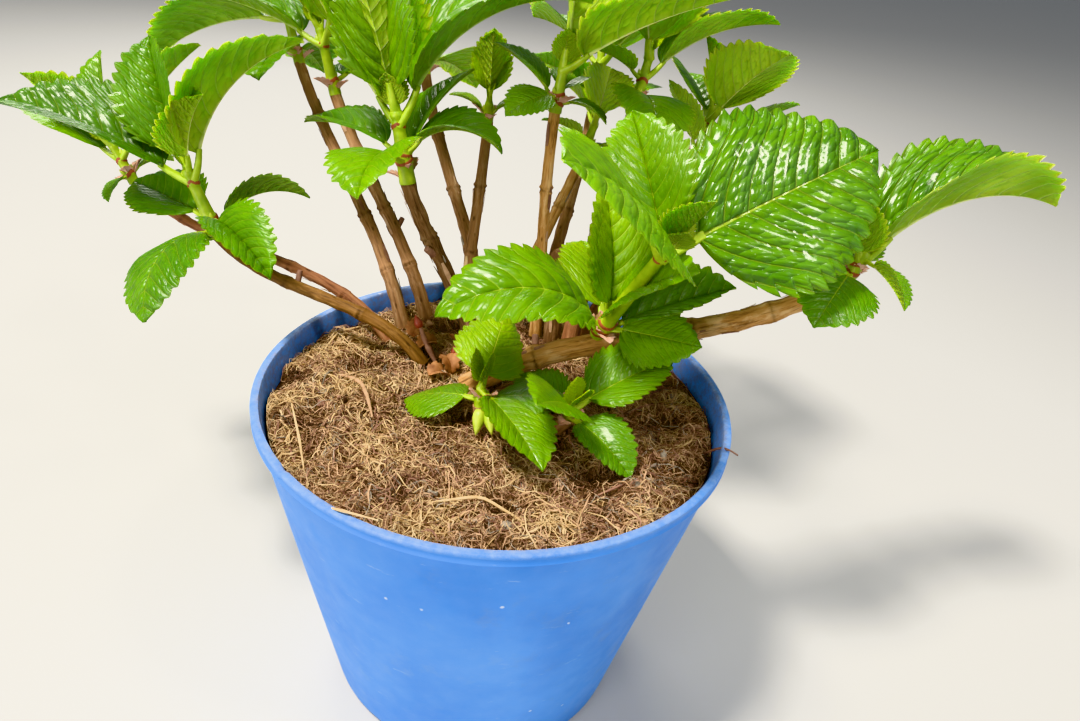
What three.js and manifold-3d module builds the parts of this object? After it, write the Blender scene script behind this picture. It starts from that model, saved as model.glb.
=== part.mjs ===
// A young hydrangea shrub in its round plastic pot: woody canes that rise from the compost,
// each ending in a green shoot with opposite pairs of broad leaves.
// Millimetres, +Z up. The origin is the middle of the pot's flat underside.
import * as THREE from "three";
import { mergeVertices } from "three/addons/utils/BufferGeometryUtils.js";
import Module from "manifold-3d";

const wasm = await Module();
wasm.setup();

// Driving dimensions
const GAP = 0.3; // clearance between two pieces that touch
const POT = {
  rimRadius: 115,
  footRadius: 81,
  height: 175,
  wall: 2.2,
  floor: 3,
  footRound: 3, // how far the lower edge is cut back
  lip: { depth: 6, overhang: 2.4, width: 4.6, edge: 1 },
  sides: 40,
  drains: { count: 6, radius: 6, circle: 58, sides: 6 },
};
const COMPOST = {
  level: 163, // height of its top at the middle
  slope: -0.035, // how its top falls to the right
  bump: { height: 1.6, acrossX: 17, acrossY: 21 },
  edgeDrop: 6, // how far below its top it leaves the wall
  shoulder: 1.5, // how far it steps in from the wall at the top
  toe: 3, // how far its lower edge is cut back
  middle: 8, // radius of the innermost ring
  rings: 4,
  sides: 32,
};
const CANE = {
  sides: 6,
  nodeSpacing: 36, // from one pair of leaf scars to the next
  nodeSwell: 1.22,
  nodeWidth: 3.2, // half the length of a swelling
  footSwell: 1.12,
  footLength: 6,
  tipSwell: 1.05,
  rise: 0.5, // how upright it leaves the compost, from 0 (straight for its tip) to 1
};
const STEM = {
  sides: 6,
  taper: 0.62, // radius at its tip over radius at its foot
  pastLeaves: 2, // how far it runs on past its last pair of leaves
  offCane: 1.3, // how far from its cane's swelling a side shoot starts
};
const LEAF = {
  widthShare: 0.84, // blade width over blade length
  thickShare: 1 / 88, // blade thickness over blade length
  petioleShare: 0.15, // petiole length over blade length
  stemShare: 0.8, // how much of the stem's radius its petiole is longer by
  basePower: 0.6, // how fast the outline widens from the base
  tipPower: 0.92, // how fast it narrows to the tip
  tipHalf: 0.03, // half width at the tip, as a share of the greatest
  reflex: 0.22, // how far the margins turn down again
  stalk: { radius: 0.9, perLength: 0.012, root: 1.15, neck: 0.85, flat: 0.45 },
  largeFrom: 74, // blades from this length get the finer grid
  large: { along: [0.08, 0.26, 0.48, 0.7, 0.88, 1], across: [1, 0.5, 0, -0.5, -1] },
  small: { along: [0.12, 0.42, 0.74, 1], across: [1, 0, -1] },
};
// How a leaf lies, in degrees, on the lowest pair and on the top pair of a shoot: open is its angle
// off the stem, fold lifts its halves, droop bends its midrib down.
const HABIT = { open: [78, 24], fold: [26, 42], droop: [45, 10], pairTurn: 90 };

// The canes. foot: x, y on the compost. tip: x, y, z of the woody end. thick: radius at foot and tip.
const CANES = {
  left: { foot: [-42, 29], tip: [-152, 46, 216], thick: [3.9, 3.5] },
  left_back: { foot: [-64, 47], tip: [-214, 86, 224], thick: [3.4, 2.7] },
  mid_left: { foot: [-48, 74], tip: [-108, 112, 278], thick: [4.0, 3.1] },
  mid_back: { foot: [-59, 62], tip: [-138, 146, 284], thick: [3.9, 3.0] },
  tall_left: { foot: [-18, 52], tip: [-59, 68, 249], thick: [4.6, 4.2] },
  young: { foot: [-28, 84], tip: [-26, 132, 267], thick: [3.8, 3.2] },
  tall_back: { foot: [15, 78], tip: [12, 102, 285], thick: [3.9, 3.3] },
  mid_right: { foot: [-1, 88], tip: [31, 140, 254], thick: [3.8, 3.1] },
  right_back: { foot: [34, 57], tip: [56, 138, 284], thick: [5.0, 3.3] },
  right: { foot: [-16, 12], tip: [162, 32, 240], thick: [5.0, 4.0], rise: 0.3 },
  front: { foot: [-4, -19], tip: [-6, -21, 177], thick: [3.4, 3.0] },
  front_right: { foot: [32, -14], tip: [36, -19, 173], thick: [3.2, 2.8] },
  back_left: { foot: [-18, 90], tip: [-72, 186, 276], thick: [3.9, 3.2] },
  back_right: { foot: [42, 76], tip: [100, 168, 246], thick: [3.8, 3.2] },
  back_mid: { foot: [17, 97], tip: [34, 194, 262], thick: [3.8, 3.2] },
  stub: { foot: [25, 72], tip: [23, 79, 213], thick: [4.6, 4.2] },
};

// The shoots. aim: heading and climb of the stem in degrees. turn: heading of the lowest pair's first
// leaf; each pair up turns a quarter. steps: where the pairs sit along the stem. long: their blades.
// own: the leaves that lie in their own way, by pair and hand. heading: 0 is +X, 90 is +Y.
// A side shoot grows from its cane at a share of the cane's length, on the side that out points to.
const SHOOTS = {
  left: {
    on: "left", aim: [165, 66], thick: 3.9, turn: 215, steps: [3, 9, 28, 33], long: [60, 50, 80, 60],
    own: {
      "0a": { heading: 250, fold: 5, droop: 80 },
      "0b": { heading: 35, open: 60, long: 46, fold: 35, droop: 80, roll: -10 },
      "1a": { heading: 315, open: 100, fold: 50, droop: 55 },
      "1b": { heading: 150, fold: 25, droop: 10, roll: -10 },
      "2a": { heading: 10, open: 35, droop: 60 },
      "2b": { heading: 190, open: 40, fold: 40, roll: -15 },
      "3a": { heading: 100, open: 15, fold: 50, droop: 20, roll: -15 },
      "3b": { heading: 325, open: 40, long: 42, fold: 50, droop: 30, roll: 20 },
    },
  },
  left_back: {
    on: "left_back", aim: [170, 62], thick: 3.0, turn: 250, steps: [4, 12, 20], long: [26, 66, 44],
    own: {
      "0a": { open: 95, long: 18 },
      "1a": { heading: 10 },
      "1b": { heading: 170, open: 35, long: 56, droop: 15 },
    },
  },
  mid_left: {
    on: "mid_left", aim: [150, 72], thick: 3.3, turn: 60, steps: [6, 24, 32], long: [48, 74, 40],
    own: {
      "0b": "none",
      "1a": { heading: 170 },
      "1b": { heading: 335, open: 35 },
    },
  },
  mid_back: {
    on: "mid_back", aim: [140, 66], thick: 3.2, turn: 95, steps: [6, 24, 32], long: [50, 76, 40],
    own: {
      "0b": { heading: 265, open: 90 },
      "1a": { heading: 175, open: 75, droop: 40 },
      "1b": { heading: 25, open: 75, long: 70, droop: 40 },
    },
  },
  tall_left: {
    on: "tall_left", aim: [160, 78], thick: 4.4, turn: 260, steps: [10, 13, 28, 33], long: [55, 48, 75, 70],
    own: {
      "0a": { open: 65, droop: 65, roll: 5 },
      "0b": { heading: 55, open: 45, droop: 30, roll: -20 },
      "1a": { heading: 355, open: 55, droop: 95, roll: 5 },
      "1b": { heading: 165, open: 55, droop: 40 },
      "2a": { heading: 5, open: 35, long: 104, droop: 75, roll: 15 },
      "2b": { heading: 165, open: 30, droop: -10, roll: 5 },
      "3a": { heading: 80, open: 0, long: 65 },
      "3b": { heading: 260, open: 10 },
    },
  },
  young: {
    on: "young", aim: [95, 84], thick: 3.0, turn: 5, steps: [3, 9], long: [20, 34], open: [50, 12],
  },
  tall_back: {
    on: "tall_back", aim: [50, 82], thick: 3.6, turn: 165, steps: [4, 8, 20], long: [38, 30, 80],
    own: {
      "0a": { open: 50, droop: 30 },
      "0b": { long: 24, droop: 55 },
      "1a": { heading: 230, open: 95, fold: 20, droop: 40, roll: -15 },
      "1b": { open: 70 },
      "2a": { heading: 330, open: 50, fold: 30, droop: 20 },
      "2b": { heading: 210, open: 0, fold: 30, droop: 20 },
    },
  },
  mid_right: {
    on: "mid_right", aim: [60, 60], thick: 3.2, turn: 20, steps: [4, 16], long: [26, 44], open: [70, 50],
    own: {
      "1a": { heading: 130, droop: 30 },
      "1b": { heading: 265, open: 60, droop: 20 },
    },
  },
  right_back: {
    on: "right_back", aim: [50, 76], thick: 3.5, turn: 280, steps: [5, 14, 26], long: [56, 70, 74],
    own: {
      "0a": { open: 85, fold: 20, droop: 60 },
      "0b": { long: 50 },
      "1a": { heading: 5, open: 35, droop: 45 },
      "1b": { heading: 200, open: 65, long: 36, droop: 40 },
      "2a": { open: 20, fold: 35 },
      "2b": { heading: 250, open: 55, fold: 30, droop: 0 },
    },
  },
  right_end: {
    on: "right", aim: [20, 60], thick: 3.8, turn: 245, steps: [3, 7, 12], long: [44, 94, 22],
    own: {
      "0a": { open: 105, fold: 10, roll: 10 },
      "0b": { heading: 90, open: 55, long: 38, fold: 30, droop: 5 },
      "1a": { heading: 20, open: 15, fold: 55, droop: 65, roll: -10 },
      "1b": { heading: 210, open: 50, long: 34, fold: 40, droop: 10 },
      "2a": { heading: 120, open: 40, droop: 20 },
      "2b": { heading: 305, open: 95, long: 28, droop: 25 },
    },
  },
  near: {
    on: "right", side: 0.355, out: [-50, 80], aim: [-60, 57], thick: 4.0,
    turn: 185, steps: [3, 6, 10, 68, 72], long: [84, 50, 56, 100, 52],
    own: {
      "0a": { open: 45, fold: 20, droop: 95, roll: 25 },
      "0b": { heading: 25, open: 50, long: 56, fold: 50, droop: 15, roll: -15 },
      "1a": { heading: 345, open: 55, long: 40, fold: 10, droop: 10, roll: 10 },
      "1b": { heading: 105, open: 85, fold: 20, droop: 40 },
      "2a": { heading: 335, open: 0, fold: 30, droop: 35, roll: 5 },
      "2b": { heading: 120, open: 35, fold: 40, droop: 40 },
      "3a": { heading: 40, open: 65, fold: 10, roll: 10 },
      "3b": { heading: 205, open: 35, long: 86, fold: 10, droop: 30, roll: 15 },
      "4a": { heading: 125, open: 65, fold: 35, droop: 25, roll: -30 },
      "4b": { heading: 300, open: 5, long: 32, droop: 0 },
    },
  },
  front: {
    on: "front", aim: [90, 80], thick: 2.6, turn: 160, steps: [3, 8], long: [36, 46], open: [95, 75],
    own: {
      "0a": { fold: 0, droop: 30, roll: -10 },
      "0b": { heading: 355, open: 75, long: 33, fold: 5, droop: 10, roll: 10 },
      "1a": { heading: 310, open: 100, fold: 30, droop: 20, roll: -10 },
      "1b": { heading: 80, open: 55, long: 42, fold: -10, roll: 25 },
    },
  },
  front_right: {
    on: "front_right", aim: [300, 72], thick: 2.4, turn: 315, steps: [3, 8], long: [36, 46], open: [80, 60],
    own: {
      "0a": { open: 70, fold: 35, droop: 40 },
      "0b": { open: 90, long: 32, droop: 35 },
      "1a": { heading: 35, fold: 30, droop: 20, roll: -10 },
      "1b": { heading: 235, open: 40, long: 43, fold: 20, droop: 20 },
    },
  },
  back_left: {
    on: "back_left", aim: [115, 68], thick: 3.4, turn: 70, steps: [8, 34, 44], long: [60, 82, 42],
    own: { "1a": { open: 40 } },
  },
  back_right: {
    on: "back_right", aim: [60, 66], thick: 3.4, turn: 15, steps: [6, 26, 34], long: [58, 66, 36],
    own: {
      "0a": { heading: 0, open: 40, droop: 15 },
      "0b": { heading: 200, open: 40, long: 40, droop: 15 },
    },
  },
  back_mid: {
    on: "back_mid", aim: [85, 66], thick: 3.4, turn: 40, steps: [8, 30, 38], long: [56, 74, 40],
    own: { "0b": { heading: 215, open: 60, long: 52 } },
  },
};

const UP = new THREE.Vector3(0, 0, 1);
const RIGHT = new THREE.Vector3(1, 0, 0);
const rad = THREE.MathUtils.degToRad;
const mix = THREE.MathUtils.lerp;

// A unit vector from its heading and climb in degrees.
function direction([heading, climb]) {
  const flat = Math.cos(rad(climb));
  const x = flat * Math.cos(rad(heading));
  const y = flat * Math.sin(rad(heading));
  return new THREE.Vector3(x, y, Math.sin(rad(climb)));
}

// A geometry from points and triangles.
function meshOf(points, faces) {
  const geometry = new THREE.BufferGeometry();
  const numbers = points.flatMap((p) => [p.x, p.y, p.z]);
  geometry.setAttribute("position", new THREE.Float32BufferAttribute(numbers, 3));
  geometry.setIndex(faces.flat());
  return geometry;
}

// A closed solid from a geometry, for joining and cutting.
function solidOf(geometry) {
  const bare = geometry.clone();
  bare.deleteAttribute("normal");
  bare.deleteAttribute("uv");
  const merged = mergeVertices(bare, 1e-4);
  return new wasm.Manifold(
    new wasm.Mesh({
      numProp: 3,
      vertProperties: merged.attributes.position.array,
      triVerts: new Uint32Array(merged.index.array),
    }),
  );
}

// The geometry of a solid.
function geometryOf(solid) {
  const made = solid.getMesh();
  const geometry = new THREE.BufferGeometry();
  geometry.setAttribute("position", new THREE.Float32BufferAttribute(made.vertProperties, 3));
  geometry.setIndex(new THREE.BufferAttribute(made.triVerts, 1));
  return geometry;
}

// Skins rings of equal length, each an array of points, into one closed body with flat ends.
function skin(rings) {
  const sides = rings[0].length;
  const points = rings.flat();
  const faces = [];
  for (let i = 0; i + 1 < rings.length; i++)
    for (let j = 0; j < sides; j++) {
      const a = i * sides + j;
      const b = i * sides + ((j + 1) % sides);
      faces.push([a, b, b + sides], [a, b + sides, a + sides]);
    }
  const last = points.length - sides;
  for (let j = 1; j + 1 < sides; j++) {
    faces.push([0, j + 1, j]);
    faces.push([last, last + j, last + j + 1]);
  }
  return meshOf(points, faces);
}

// A ring of points round a centre, in the plane square to an axis.
function ring(centre, axis, radius, sides) {
  const steep = Math.abs(axis.z) > 0.9;
  const side = new THREE.Vector3().crossVectors(steep ? RIGHT : UP, axis).normalize();
  const other = new THREE.Vector3().crossVectors(axis, side);
  return Array.from({ length: sides }, (_, j) => {
    const a = (2 * Math.PI * j) / sides;
    const out = side.clone().multiplyScalar(Math.cos(a)).addScaledVector(other, Math.sin(a));
    return centre.clone().addScaledVector(out, radius);
  });
}

// The pot: one turned wall with a lip at the rim, and drain holes in its floor.
function pot() {
  const { rimRadius, footRadius, height, wall, floor, footRound, lip, sides, drains } = POT;
  const shoulder = rimRadius - lip.overhang;
  const under = height - lip.depth;
  const outside = [
    [0, 0],
    [footRadius - footRound, 0],
    [footRadius, footRound],
    [shoulder, under],
    [rimRadius, under + lip.edge],
    [rimRadius, height - lip.edge],
    [rimRadius - lip.edge, height],
  ];
  const inside = [
    [rimRadius - lip.width, height],
    [shoulder - wall, under],
    [footRadius - wall, floor + footRound],
    [footRadius - wall - footRound, floor],
    [0, floor],
  ];
  const profile = [...outside, ...inside].map(([radius, z]) => new THREE.Vector2(radius, z));
  let made = solidOf(new THREE.LatheGeometry(profile, sides).rotateX(Math.PI / 2));
  for (let i = 0; i < drains.count; i++) {
    const a = (2 * Math.PI * (i + 0.5)) / drains.count;
    const hole = new THREE.CylinderGeometry(drains.radius, drains.radius, 4 * floor, drains.sides);
    hole.rotateX(Math.PI / 2).translate(drains.circle * Math.cos(a), drains.circle * Math.sin(a), 0);
    made = made.subtract(solidOf(hole));
  }
  return geometryOf(made);
}

// Height of the compost's top, which slopes down to the right and is uneven.
function compostTop(x, y) {
  const { level, slope, bump } = COMPOST;
  return level + slope * x + bump.height * Math.sin(x / bump.acrossX + 0.5) * Math.cos(y / bump.acrossY);
}

// The compost: it fills the pot to just under the rim, clear of the wall.
function compost() {
  const { level, edgeDrop, shoulder, toe, middle, rings, sides } = COMPOST;
  const wallFoot = POT.floor + POT.footRound;
  const wallTop = POT.height - POT.lip.depth;
  const inside = (z) => {
    const low = POT.footRadius - POT.wall;
    const high = POT.rimRadius - POT.lip.overhang - POT.wall;
    return mix(low, high, (z - wallFoot) / (wallTop - wallFoot)) - 2 * GAP;
  };
  const circle = (radius, height) =>
    Array.from({ length: sides }, (_, j) => {
      const a = (2 * Math.PI * (j + 0.5)) / sides;
      const x = radius * Math.cos(a);
      const y = radius * Math.sin(a);
      return new THREE.Vector3(x, y, height(x, y));
    });
  const bottom = POT.floor + GAP;
  const edge = level - edgeDrop;
  const layers = [
    circle(middle, () => bottom),
    circle(inside(bottom + toe) - toe, () => bottom),
    circle(inside(bottom + toe), () => bottom + toe),
    circle(inside(edge), () => edge),
  ];
  for (let i = 0; i < rings; i++) {
    const radius = mix(inside(edge) - shoulder, middle, i / (rings - 1));
    layers.push(circle(radius, compostTop));
  }
  return skin(layers);
}

// Where the axis of a cane runs: out of the compost, and into its tip half along the shoot.
function caneCurve(cane, aim) {
  const foot = new THREE.Vector3(...cane.foot, cane.ground);
  const tip = new THREE.Vector3(...cane.tip);
  const chord = tip.clone().sub(foot);
  const pull = chord.length() / 3;
  chord.normalize();
  const leaving = chord.clone().lerp(UP, cane.rise ?? CANE.rise).normalize();
  const arriving = chord.clone().add(aim).normalize();
  const start = foot.clone().addScaledVector(leaving, pull);
  const end = tip.clone().addScaledVector(arriving, -pull);
  return new THREE.CubicBezierCurve3(foot, start, end, tip);
}

// A woody cane, with a swelling at each old pair of leaf scars and a flat cut where it leaves the compost.
function caneGeometry({ curve, thick, end }) {
  const length = curve.getLength();
  const count = Math.round(length / CANE.nodeSpacing);
  const share = CANE.nodeWidth / length;
  const stops = [[0, CANE.footSwell], [CANE.footLength / length, 1]];
  for (let i = 1; i < count; i++) {
    const at = i / count;
    stops.push([at - share, 1], [at, CANE.nodeSwell], [at + share, 1]);
  }
  stops.push([1 - share, CANE.tipSwell], [1, CANE.tipSwell]);
  const axisAt = (at) => {
    if (at === 0) return UP;
    return at === 1 ? end : curve.getTangentAt(at);
  };
  return skin(
    stops.map(([at, swell]) => ring(curve.getPointAt(at), axisAt(at), mix(...thick, at) * swell, CANE.sides)),
  );
}

// Half the width of a blade at a share of its length, as a share of its greatest half width.
function outline(u) {
  const { basePower, tipPower } = LEAF;
  const peak = basePower / (basePower + tipPower);
  return (u / peak) ** basePower * ((1 - u) / (1 - peak)) ** tipPower;
}

// A point of a blade: u runs from its base to its tip, v from one margin to the other.
function bladePoint(leaf, u, v) {
  const bend = rad(leaf.droop);
  const turned = bend * u;
  const run = bend ? Math.sin(turned) / bend : u;
  const fall = bend ? (1 - Math.cos(turned)) / bend : 0;
  const point = leaf.base.clone();
  point.addScaledVector(leaf.along, leaf.long * run).addScaledVector(leaf.normal, -leaf.long * fall);
  const normal = leaf.normal.clone().multiplyScalar(Math.cos(turned));
  normal.addScaledVector(leaf.along, Math.sin(turned));
  const half = (leaf.wide / 2) * Math.max(outline(u), LEAF.tipHalf);
  const fold = rad(leaf.fold);
  const lift = half * (Math.sin(fold) * Math.abs(v) - LEAF.reflex * v * v);
  point.addScaledVector(leaf.side, half * v * Math.cos(fold)).addScaledVector(normal, lift);
  return { point, normal };
}

// One leaf as one body: a stalk rooted in the stem that opens out into the blade.
function leafGeometry(leaf) {
  const { along, across } = leaf.long >= LEAF.largeFrom ? LEAF.large : LEAF.small;
  const { root, neck, flat } = LEAF.stalk;
  const half = (leaf.long * LEAF.thickShare) / 2;
  const around = (pointAt) => {
    const upper = across.map((v) => pointAt(v, 1));
    const lower = across.map((v) => pointAt(v, -1)).reverse();
    return [...upper, ...lower];
  };
  const stalkRing = (centre, radius) =>
    around((v, sign) => {
      const point = centre.clone().addScaledVector(leaf.side, radius * v);
      return point.addScaledVector(leaf.normal, sign * radius * (1 - flat * v * v));
    });
  const bladeRing = (u) =>
    around((v, sign) => {
      const { point, normal } = bladePoint(leaf, u, v);
      return point.addScaledVector(normal, sign * half);
    });
  const stalk = [stalkRing(leaf.from, leaf.stalk * root), stalkRing(leaf.base, leaf.stalk * neck)];
  return skin([...stalk, ...along.map(bladeRing)]);
}

// How one leaf of a shoot lies: by its shoot's habit, or in its own way.
function layOf(shoot, pair, hand) {
  const share = pair / (shoot.steps.length - 1);
  const habit = {
    heading: shoot.turn + HABIT.pairTurn * pair + 180 * hand,
    open: mix(...(shoot.open ?? HABIT.open), share),
    long: shoot.long[pair],
    fold: mix(...HABIT.fold, share),
    droop: mix(...HABIT.droop, share),
    roll: 0,
  };
  const own = shoot.own?.[`${pair}${"ab"[hand]}`];
  return own === "none" ? null : { ...habit, ...own };
}

// One leaf of a shoot: where it roots, how it points and its sizes.
function leafOf(shoot, step, lay) {
  const { axis, start } = shoot;
  const level = new THREE.Vector3().crossVectors(UP, axis).normalize();
  const toward = new THREE.Vector3().crossVectors(level, axis);
  const at = rad(lay.heading - shoot.aim[0]);
  const open = rad(lay.open);
  const out = toward.multiplyScalar(Math.cos(at)).addScaledVector(level, Math.sin(at));
  const along = axis.clone().multiplyScalar(Math.cos(open)).addScaledVector(out, Math.sin(open));
  const normal = axis.clone().multiplyScalar(Math.sin(open)).addScaledVector(out, -Math.cos(open));
  normal.applyAxisAngle(along, rad(lay.roll));
  const from = start.clone().addScaledVector(axis, step);
  const reach = shoot.thick * LEAF.stemShare + lay.long * LEAF.petioleShare;
  return {
    from,
    base: from.clone().addScaledVector(along, reach),
    along,
    normal,
    side: new THREE.Vector3().crossVectors(normal, along),
    long: lay.long,
    wide: lay.long * LEAF.widthShare,
    fold: lay.fold,
    droop: lay.droop,
    stalk: LEAF.stalk.radius + lay.long * LEAF.stalk.perLength,
  };
}

// The leaves of a shoot, in opposite pairs.
function leavesOf(shoot) {
  const leaves = [];
  shoot.steps.forEach((step, pair) => {
    for (const hand of [0, 1]) {
      const lay = layOf(shoot, pair, hand);
      if (lay) leaves.push(leafOf(shoot, step, lay));
    }
  });
  return leaves;
}

// One shoot: its stem and leaves joined into one solid.
function shootSolid(shoot) {
  const { axis, start, thick, steps } = shoot;
  const end = steps.at(-1) + STEM.pastLeaves;
  const rings = [0, 0.5, 1].map((share) => {
    const centre = start.clone().addScaledVector(axis, end * share);
    return ring(centre, axis, thick * mix(1, STEM.taper, share), STEM.sides);
  });
  let made = solidOf(skin(rings));
  for (const leaf of leavesOf(shoot)) made = made.add(solidOf(leafGeometry(leaf)));
  return made;
}

// The scene graph
const root = new THREE.Group();
const finish = {
  pot: new THREE.MeshStandardMaterial({ color: 0x3f7fd8, roughness: 0.42 }),
  compost: new THREE.MeshStandardMaterial({ color: 0x8a6a45, roughness: 0.95 }),
  bark: new THREE.MeshStandardMaterial({ color: 0x8d6a40, roughness: 0.8 }),
  leaf: new THREE.MeshStandardMaterial({ color: 0x5fae16, roughness: 0.35 }),
};

function place(name, geometry, material) {
  const mesh = new THREE.Mesh(geometry, material);
  mesh.name = name;
  root.add(mesh);
  return mesh;
}

place("pot", pot(), finish.pot);
const ground = place("compost", compost(), finish.compost);
ground.updateMatrixWorld();

// The height of a cane's foot: just over the highest point of the compost under it.
function groundUnder([x, y], radius) {
  const down = UP.clone().negate();
  const under = (dx, dy) => {
    const from = new THREE.Vector3(x + dx, y + dy, 2 * POT.height);
    return new THREE.Raycaster(from, down).intersectObject(ground)[0].point.z;
  };
  const heights = [under(0, 0)];
  for (let j = 0; j < CANE.sides; j++) {
    const a = (2 * Math.PI * j) / CANE.sides;
    heights.push(under(radius * Math.cos(a), radius * Math.sin(a)));
  }
  return Math.max(...heights) + GAP;
}

for (const [name, cane] of Object.entries(CANES)) {
  cane.ground = groundUnder(cane.foot, cane.thick[0] * CANE.footSwell);
  const top = Object.values(SHOOTS).find((shoot) => shoot.on === name && !shoot.side);
  cane.end = top ? direction(top.aim) : UP;
  cane.curve = caneCurve(cane, cane.end);
  place(`cane_${name}`, caneGeometry(cane), finish.bark);
}

for (const [name, shoot] of Object.entries(SHOOTS)) {
  const cane = CANES[shoot.on];
  shoot.axis = direction(shoot.aim);
  if (shoot.side) {
    const surface = mix(...cane.thick, shoot.side) * CANE.nodeSwell;
    shoot.start = cane.curve.getPointAt(shoot.side);
    shoot.start.addScaledVector(direction(shoot.out), surface + GAP + STEM.offCane);
  } else {
    shoot.start = new THREE.Vector3(...cane.tip).addScaledVector(shoot.axis, GAP);
  }
  place(`shoot_${name}`, geometryOf(shootSolid(shoot)), finish.leaf);
}

export default root;
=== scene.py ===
# %% [markdown]
# # A young hydrangea in its plastic pot
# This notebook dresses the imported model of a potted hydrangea. The solids already stand at their real
# size, so every piece here grows out of the same numbers: the canes follow the same curves, and each
# leaf hangs where its plain twin in the model hangs, only with teeth, veins and gloss.

import math

import bpy
import numpy as np
from mathutils import Matrix, Vector


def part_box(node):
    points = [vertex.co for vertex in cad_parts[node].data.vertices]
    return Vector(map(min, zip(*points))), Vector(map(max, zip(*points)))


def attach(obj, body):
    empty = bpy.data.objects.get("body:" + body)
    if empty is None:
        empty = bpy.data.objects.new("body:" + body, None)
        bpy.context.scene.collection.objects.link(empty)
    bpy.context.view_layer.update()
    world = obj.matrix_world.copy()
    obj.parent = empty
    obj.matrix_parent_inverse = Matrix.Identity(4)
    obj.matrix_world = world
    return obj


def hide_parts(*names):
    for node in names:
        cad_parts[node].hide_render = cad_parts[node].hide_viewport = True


MM = 0.001
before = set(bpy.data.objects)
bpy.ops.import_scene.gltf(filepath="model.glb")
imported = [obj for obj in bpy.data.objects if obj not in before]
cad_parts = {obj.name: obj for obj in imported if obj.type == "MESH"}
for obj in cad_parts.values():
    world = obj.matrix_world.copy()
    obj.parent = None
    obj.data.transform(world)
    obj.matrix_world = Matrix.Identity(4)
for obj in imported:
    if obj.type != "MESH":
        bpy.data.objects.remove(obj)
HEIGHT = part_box("pot")[1].z / MM
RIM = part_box("pot")[1].x / MM
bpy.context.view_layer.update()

# %% [markdown]
# ## The camera
# The photo was taken from just above the plant, looking down into the pot and tilted a little. The
# rim of the pot is a circle, so the ellipse that it makes in the photo gives the camera's place.

# %% Place the camera
CAMERA_PLACE = (0.0197, -0.3332, 0.3936)
LOOKS_DOWN = math.radians(31.14)
ROLLED = math.radians(6.77)
LENS, SENSOR = 27.03, 36  # mm

bpy.ops.object.camera_add(location=CAMERA_PLACE)
camera = bpy.context.object
camera.data.lens = LENS
camera.data.sensor_width = SENSOR
camera.data.clip_start = 0.01
level_view = Matrix.Rotation(math.pi / 2 - LOOKS_DOWN, 4, "X")
camera.matrix_world = Matrix.Translation(CAMERA_PLACE) @ level_view @ Matrix.Rotation(ROLLED, 4, "Z")
bpy.context.scene.camera = camera
print("camera looks down", round(math.degrees(LOOKS_DOWN)), "degrees")

# %% [markdown]
# ## Floor and light
# A pale floor and soft lamps keep the eye on the plant. The main lamp stands high on the left, where
# the sun stood, and is small enough to put bright glints on the glossy leaves. A faint small one on the
# right does the same for the leaves that lean that way.

# %% A helper that turns hex colours into shader numbers
def colour(code):
    """An sRGB hex colour as the linear red, green, blue and alpha that a shader wants."""
    parts = [int(code[i : i + 2], 16) / 255 for i in (1, 3, 5)]
    linear = [p / 12.92 if p <= 0.04045 else ((p + 0.055) / 1.055) ** 2.4 for p in parts]
    return (*linear, 1.0)


print("mid grey is", [round(x, 3) for x in colour("#808080")])

# %% A helper that adds one shader node
def feed(node, inputs):
    """Sets inputs of a node, by name or in their order: values, hex colours, or the nodes that feed them."""
    shown = [socket for socket in node.inputs if socket.enabled]
    if isinstance(inputs, dict):
        shown = [next(socket for socket in shown if socket.name == name) for name in inputs]
        inputs = inputs.values()
    for socket, value in zip(shown, inputs):
        if isinstance(value, bpy.types.Node):
            value = next(output for output in value.outputs if output.enabled)
        if isinstance(value, bpy.types.NodeSocket):
            node.id_data.links.new(value, socket)
        else:
            socket.default_value = colour(value) if isinstance(value, str) else value


def add(tree, kind, inputs=(), **settings):
    """Adds a node with its settings and its inputs."""
    node = tree.nodes.new("ShaderNode" + kind)
    for name, value in settings.items():
        setattr(node, name, value)
    feed(node, inputs)
    return node


def new_material(name):
    """An empty material with its shader: the material, its tree and the shader."""
    made = bpy.data.materials.new(name)
    made.use_nodes = True
    tree = made.node_tree
    tree.nodes.clear()
    surface = add(tree, "BsdfPrincipled")
    add(tree, "OutputMaterial", {"Surface": surface})
    return made, tree, surface


print("helpers ready")

# %% The floor
def deselect():
    """Nothing stays selected, so that the next operator acts on the new piece alone."""
    if bpy.context.mode != "OBJECT":
        bpy.ops.object.mode_set(mode="OBJECT")
    bpy.ops.object.select_all(action="DESELECT")


deselect()
bpy.ops.mesh.primitive_plane_add(size=24, location=(0, 0, -0.0002))
floor = bpy.context.object
floor.name = "floor"
floor_paint, tree, surface = new_material("pale matt floor")
feed(surface, {"Base Color": "#b3b3b1", "Roughness": 0.9})
floor.data.materials.append(floor_paint)
print("floor is", floor.dimensions.x, "m wide")

# %% The lamps
def lamp(name, place, target, size, power, tint):
    """A square area lamp at a place, turned to its target."""
    bpy.ops.object.light_add(type="AREA", location=place)
    made = bpy.context.object
    made.name = name
    made.data.shape = "SQUARE"
    made.data.size = size
    made.data.energy = power
    made.data.color = colour(tint)[:3]
    toward = made.matrix_world.translation - target
    made.rotation_euler = toward.to_track_quat("Z", "Y").to_euler()


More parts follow.
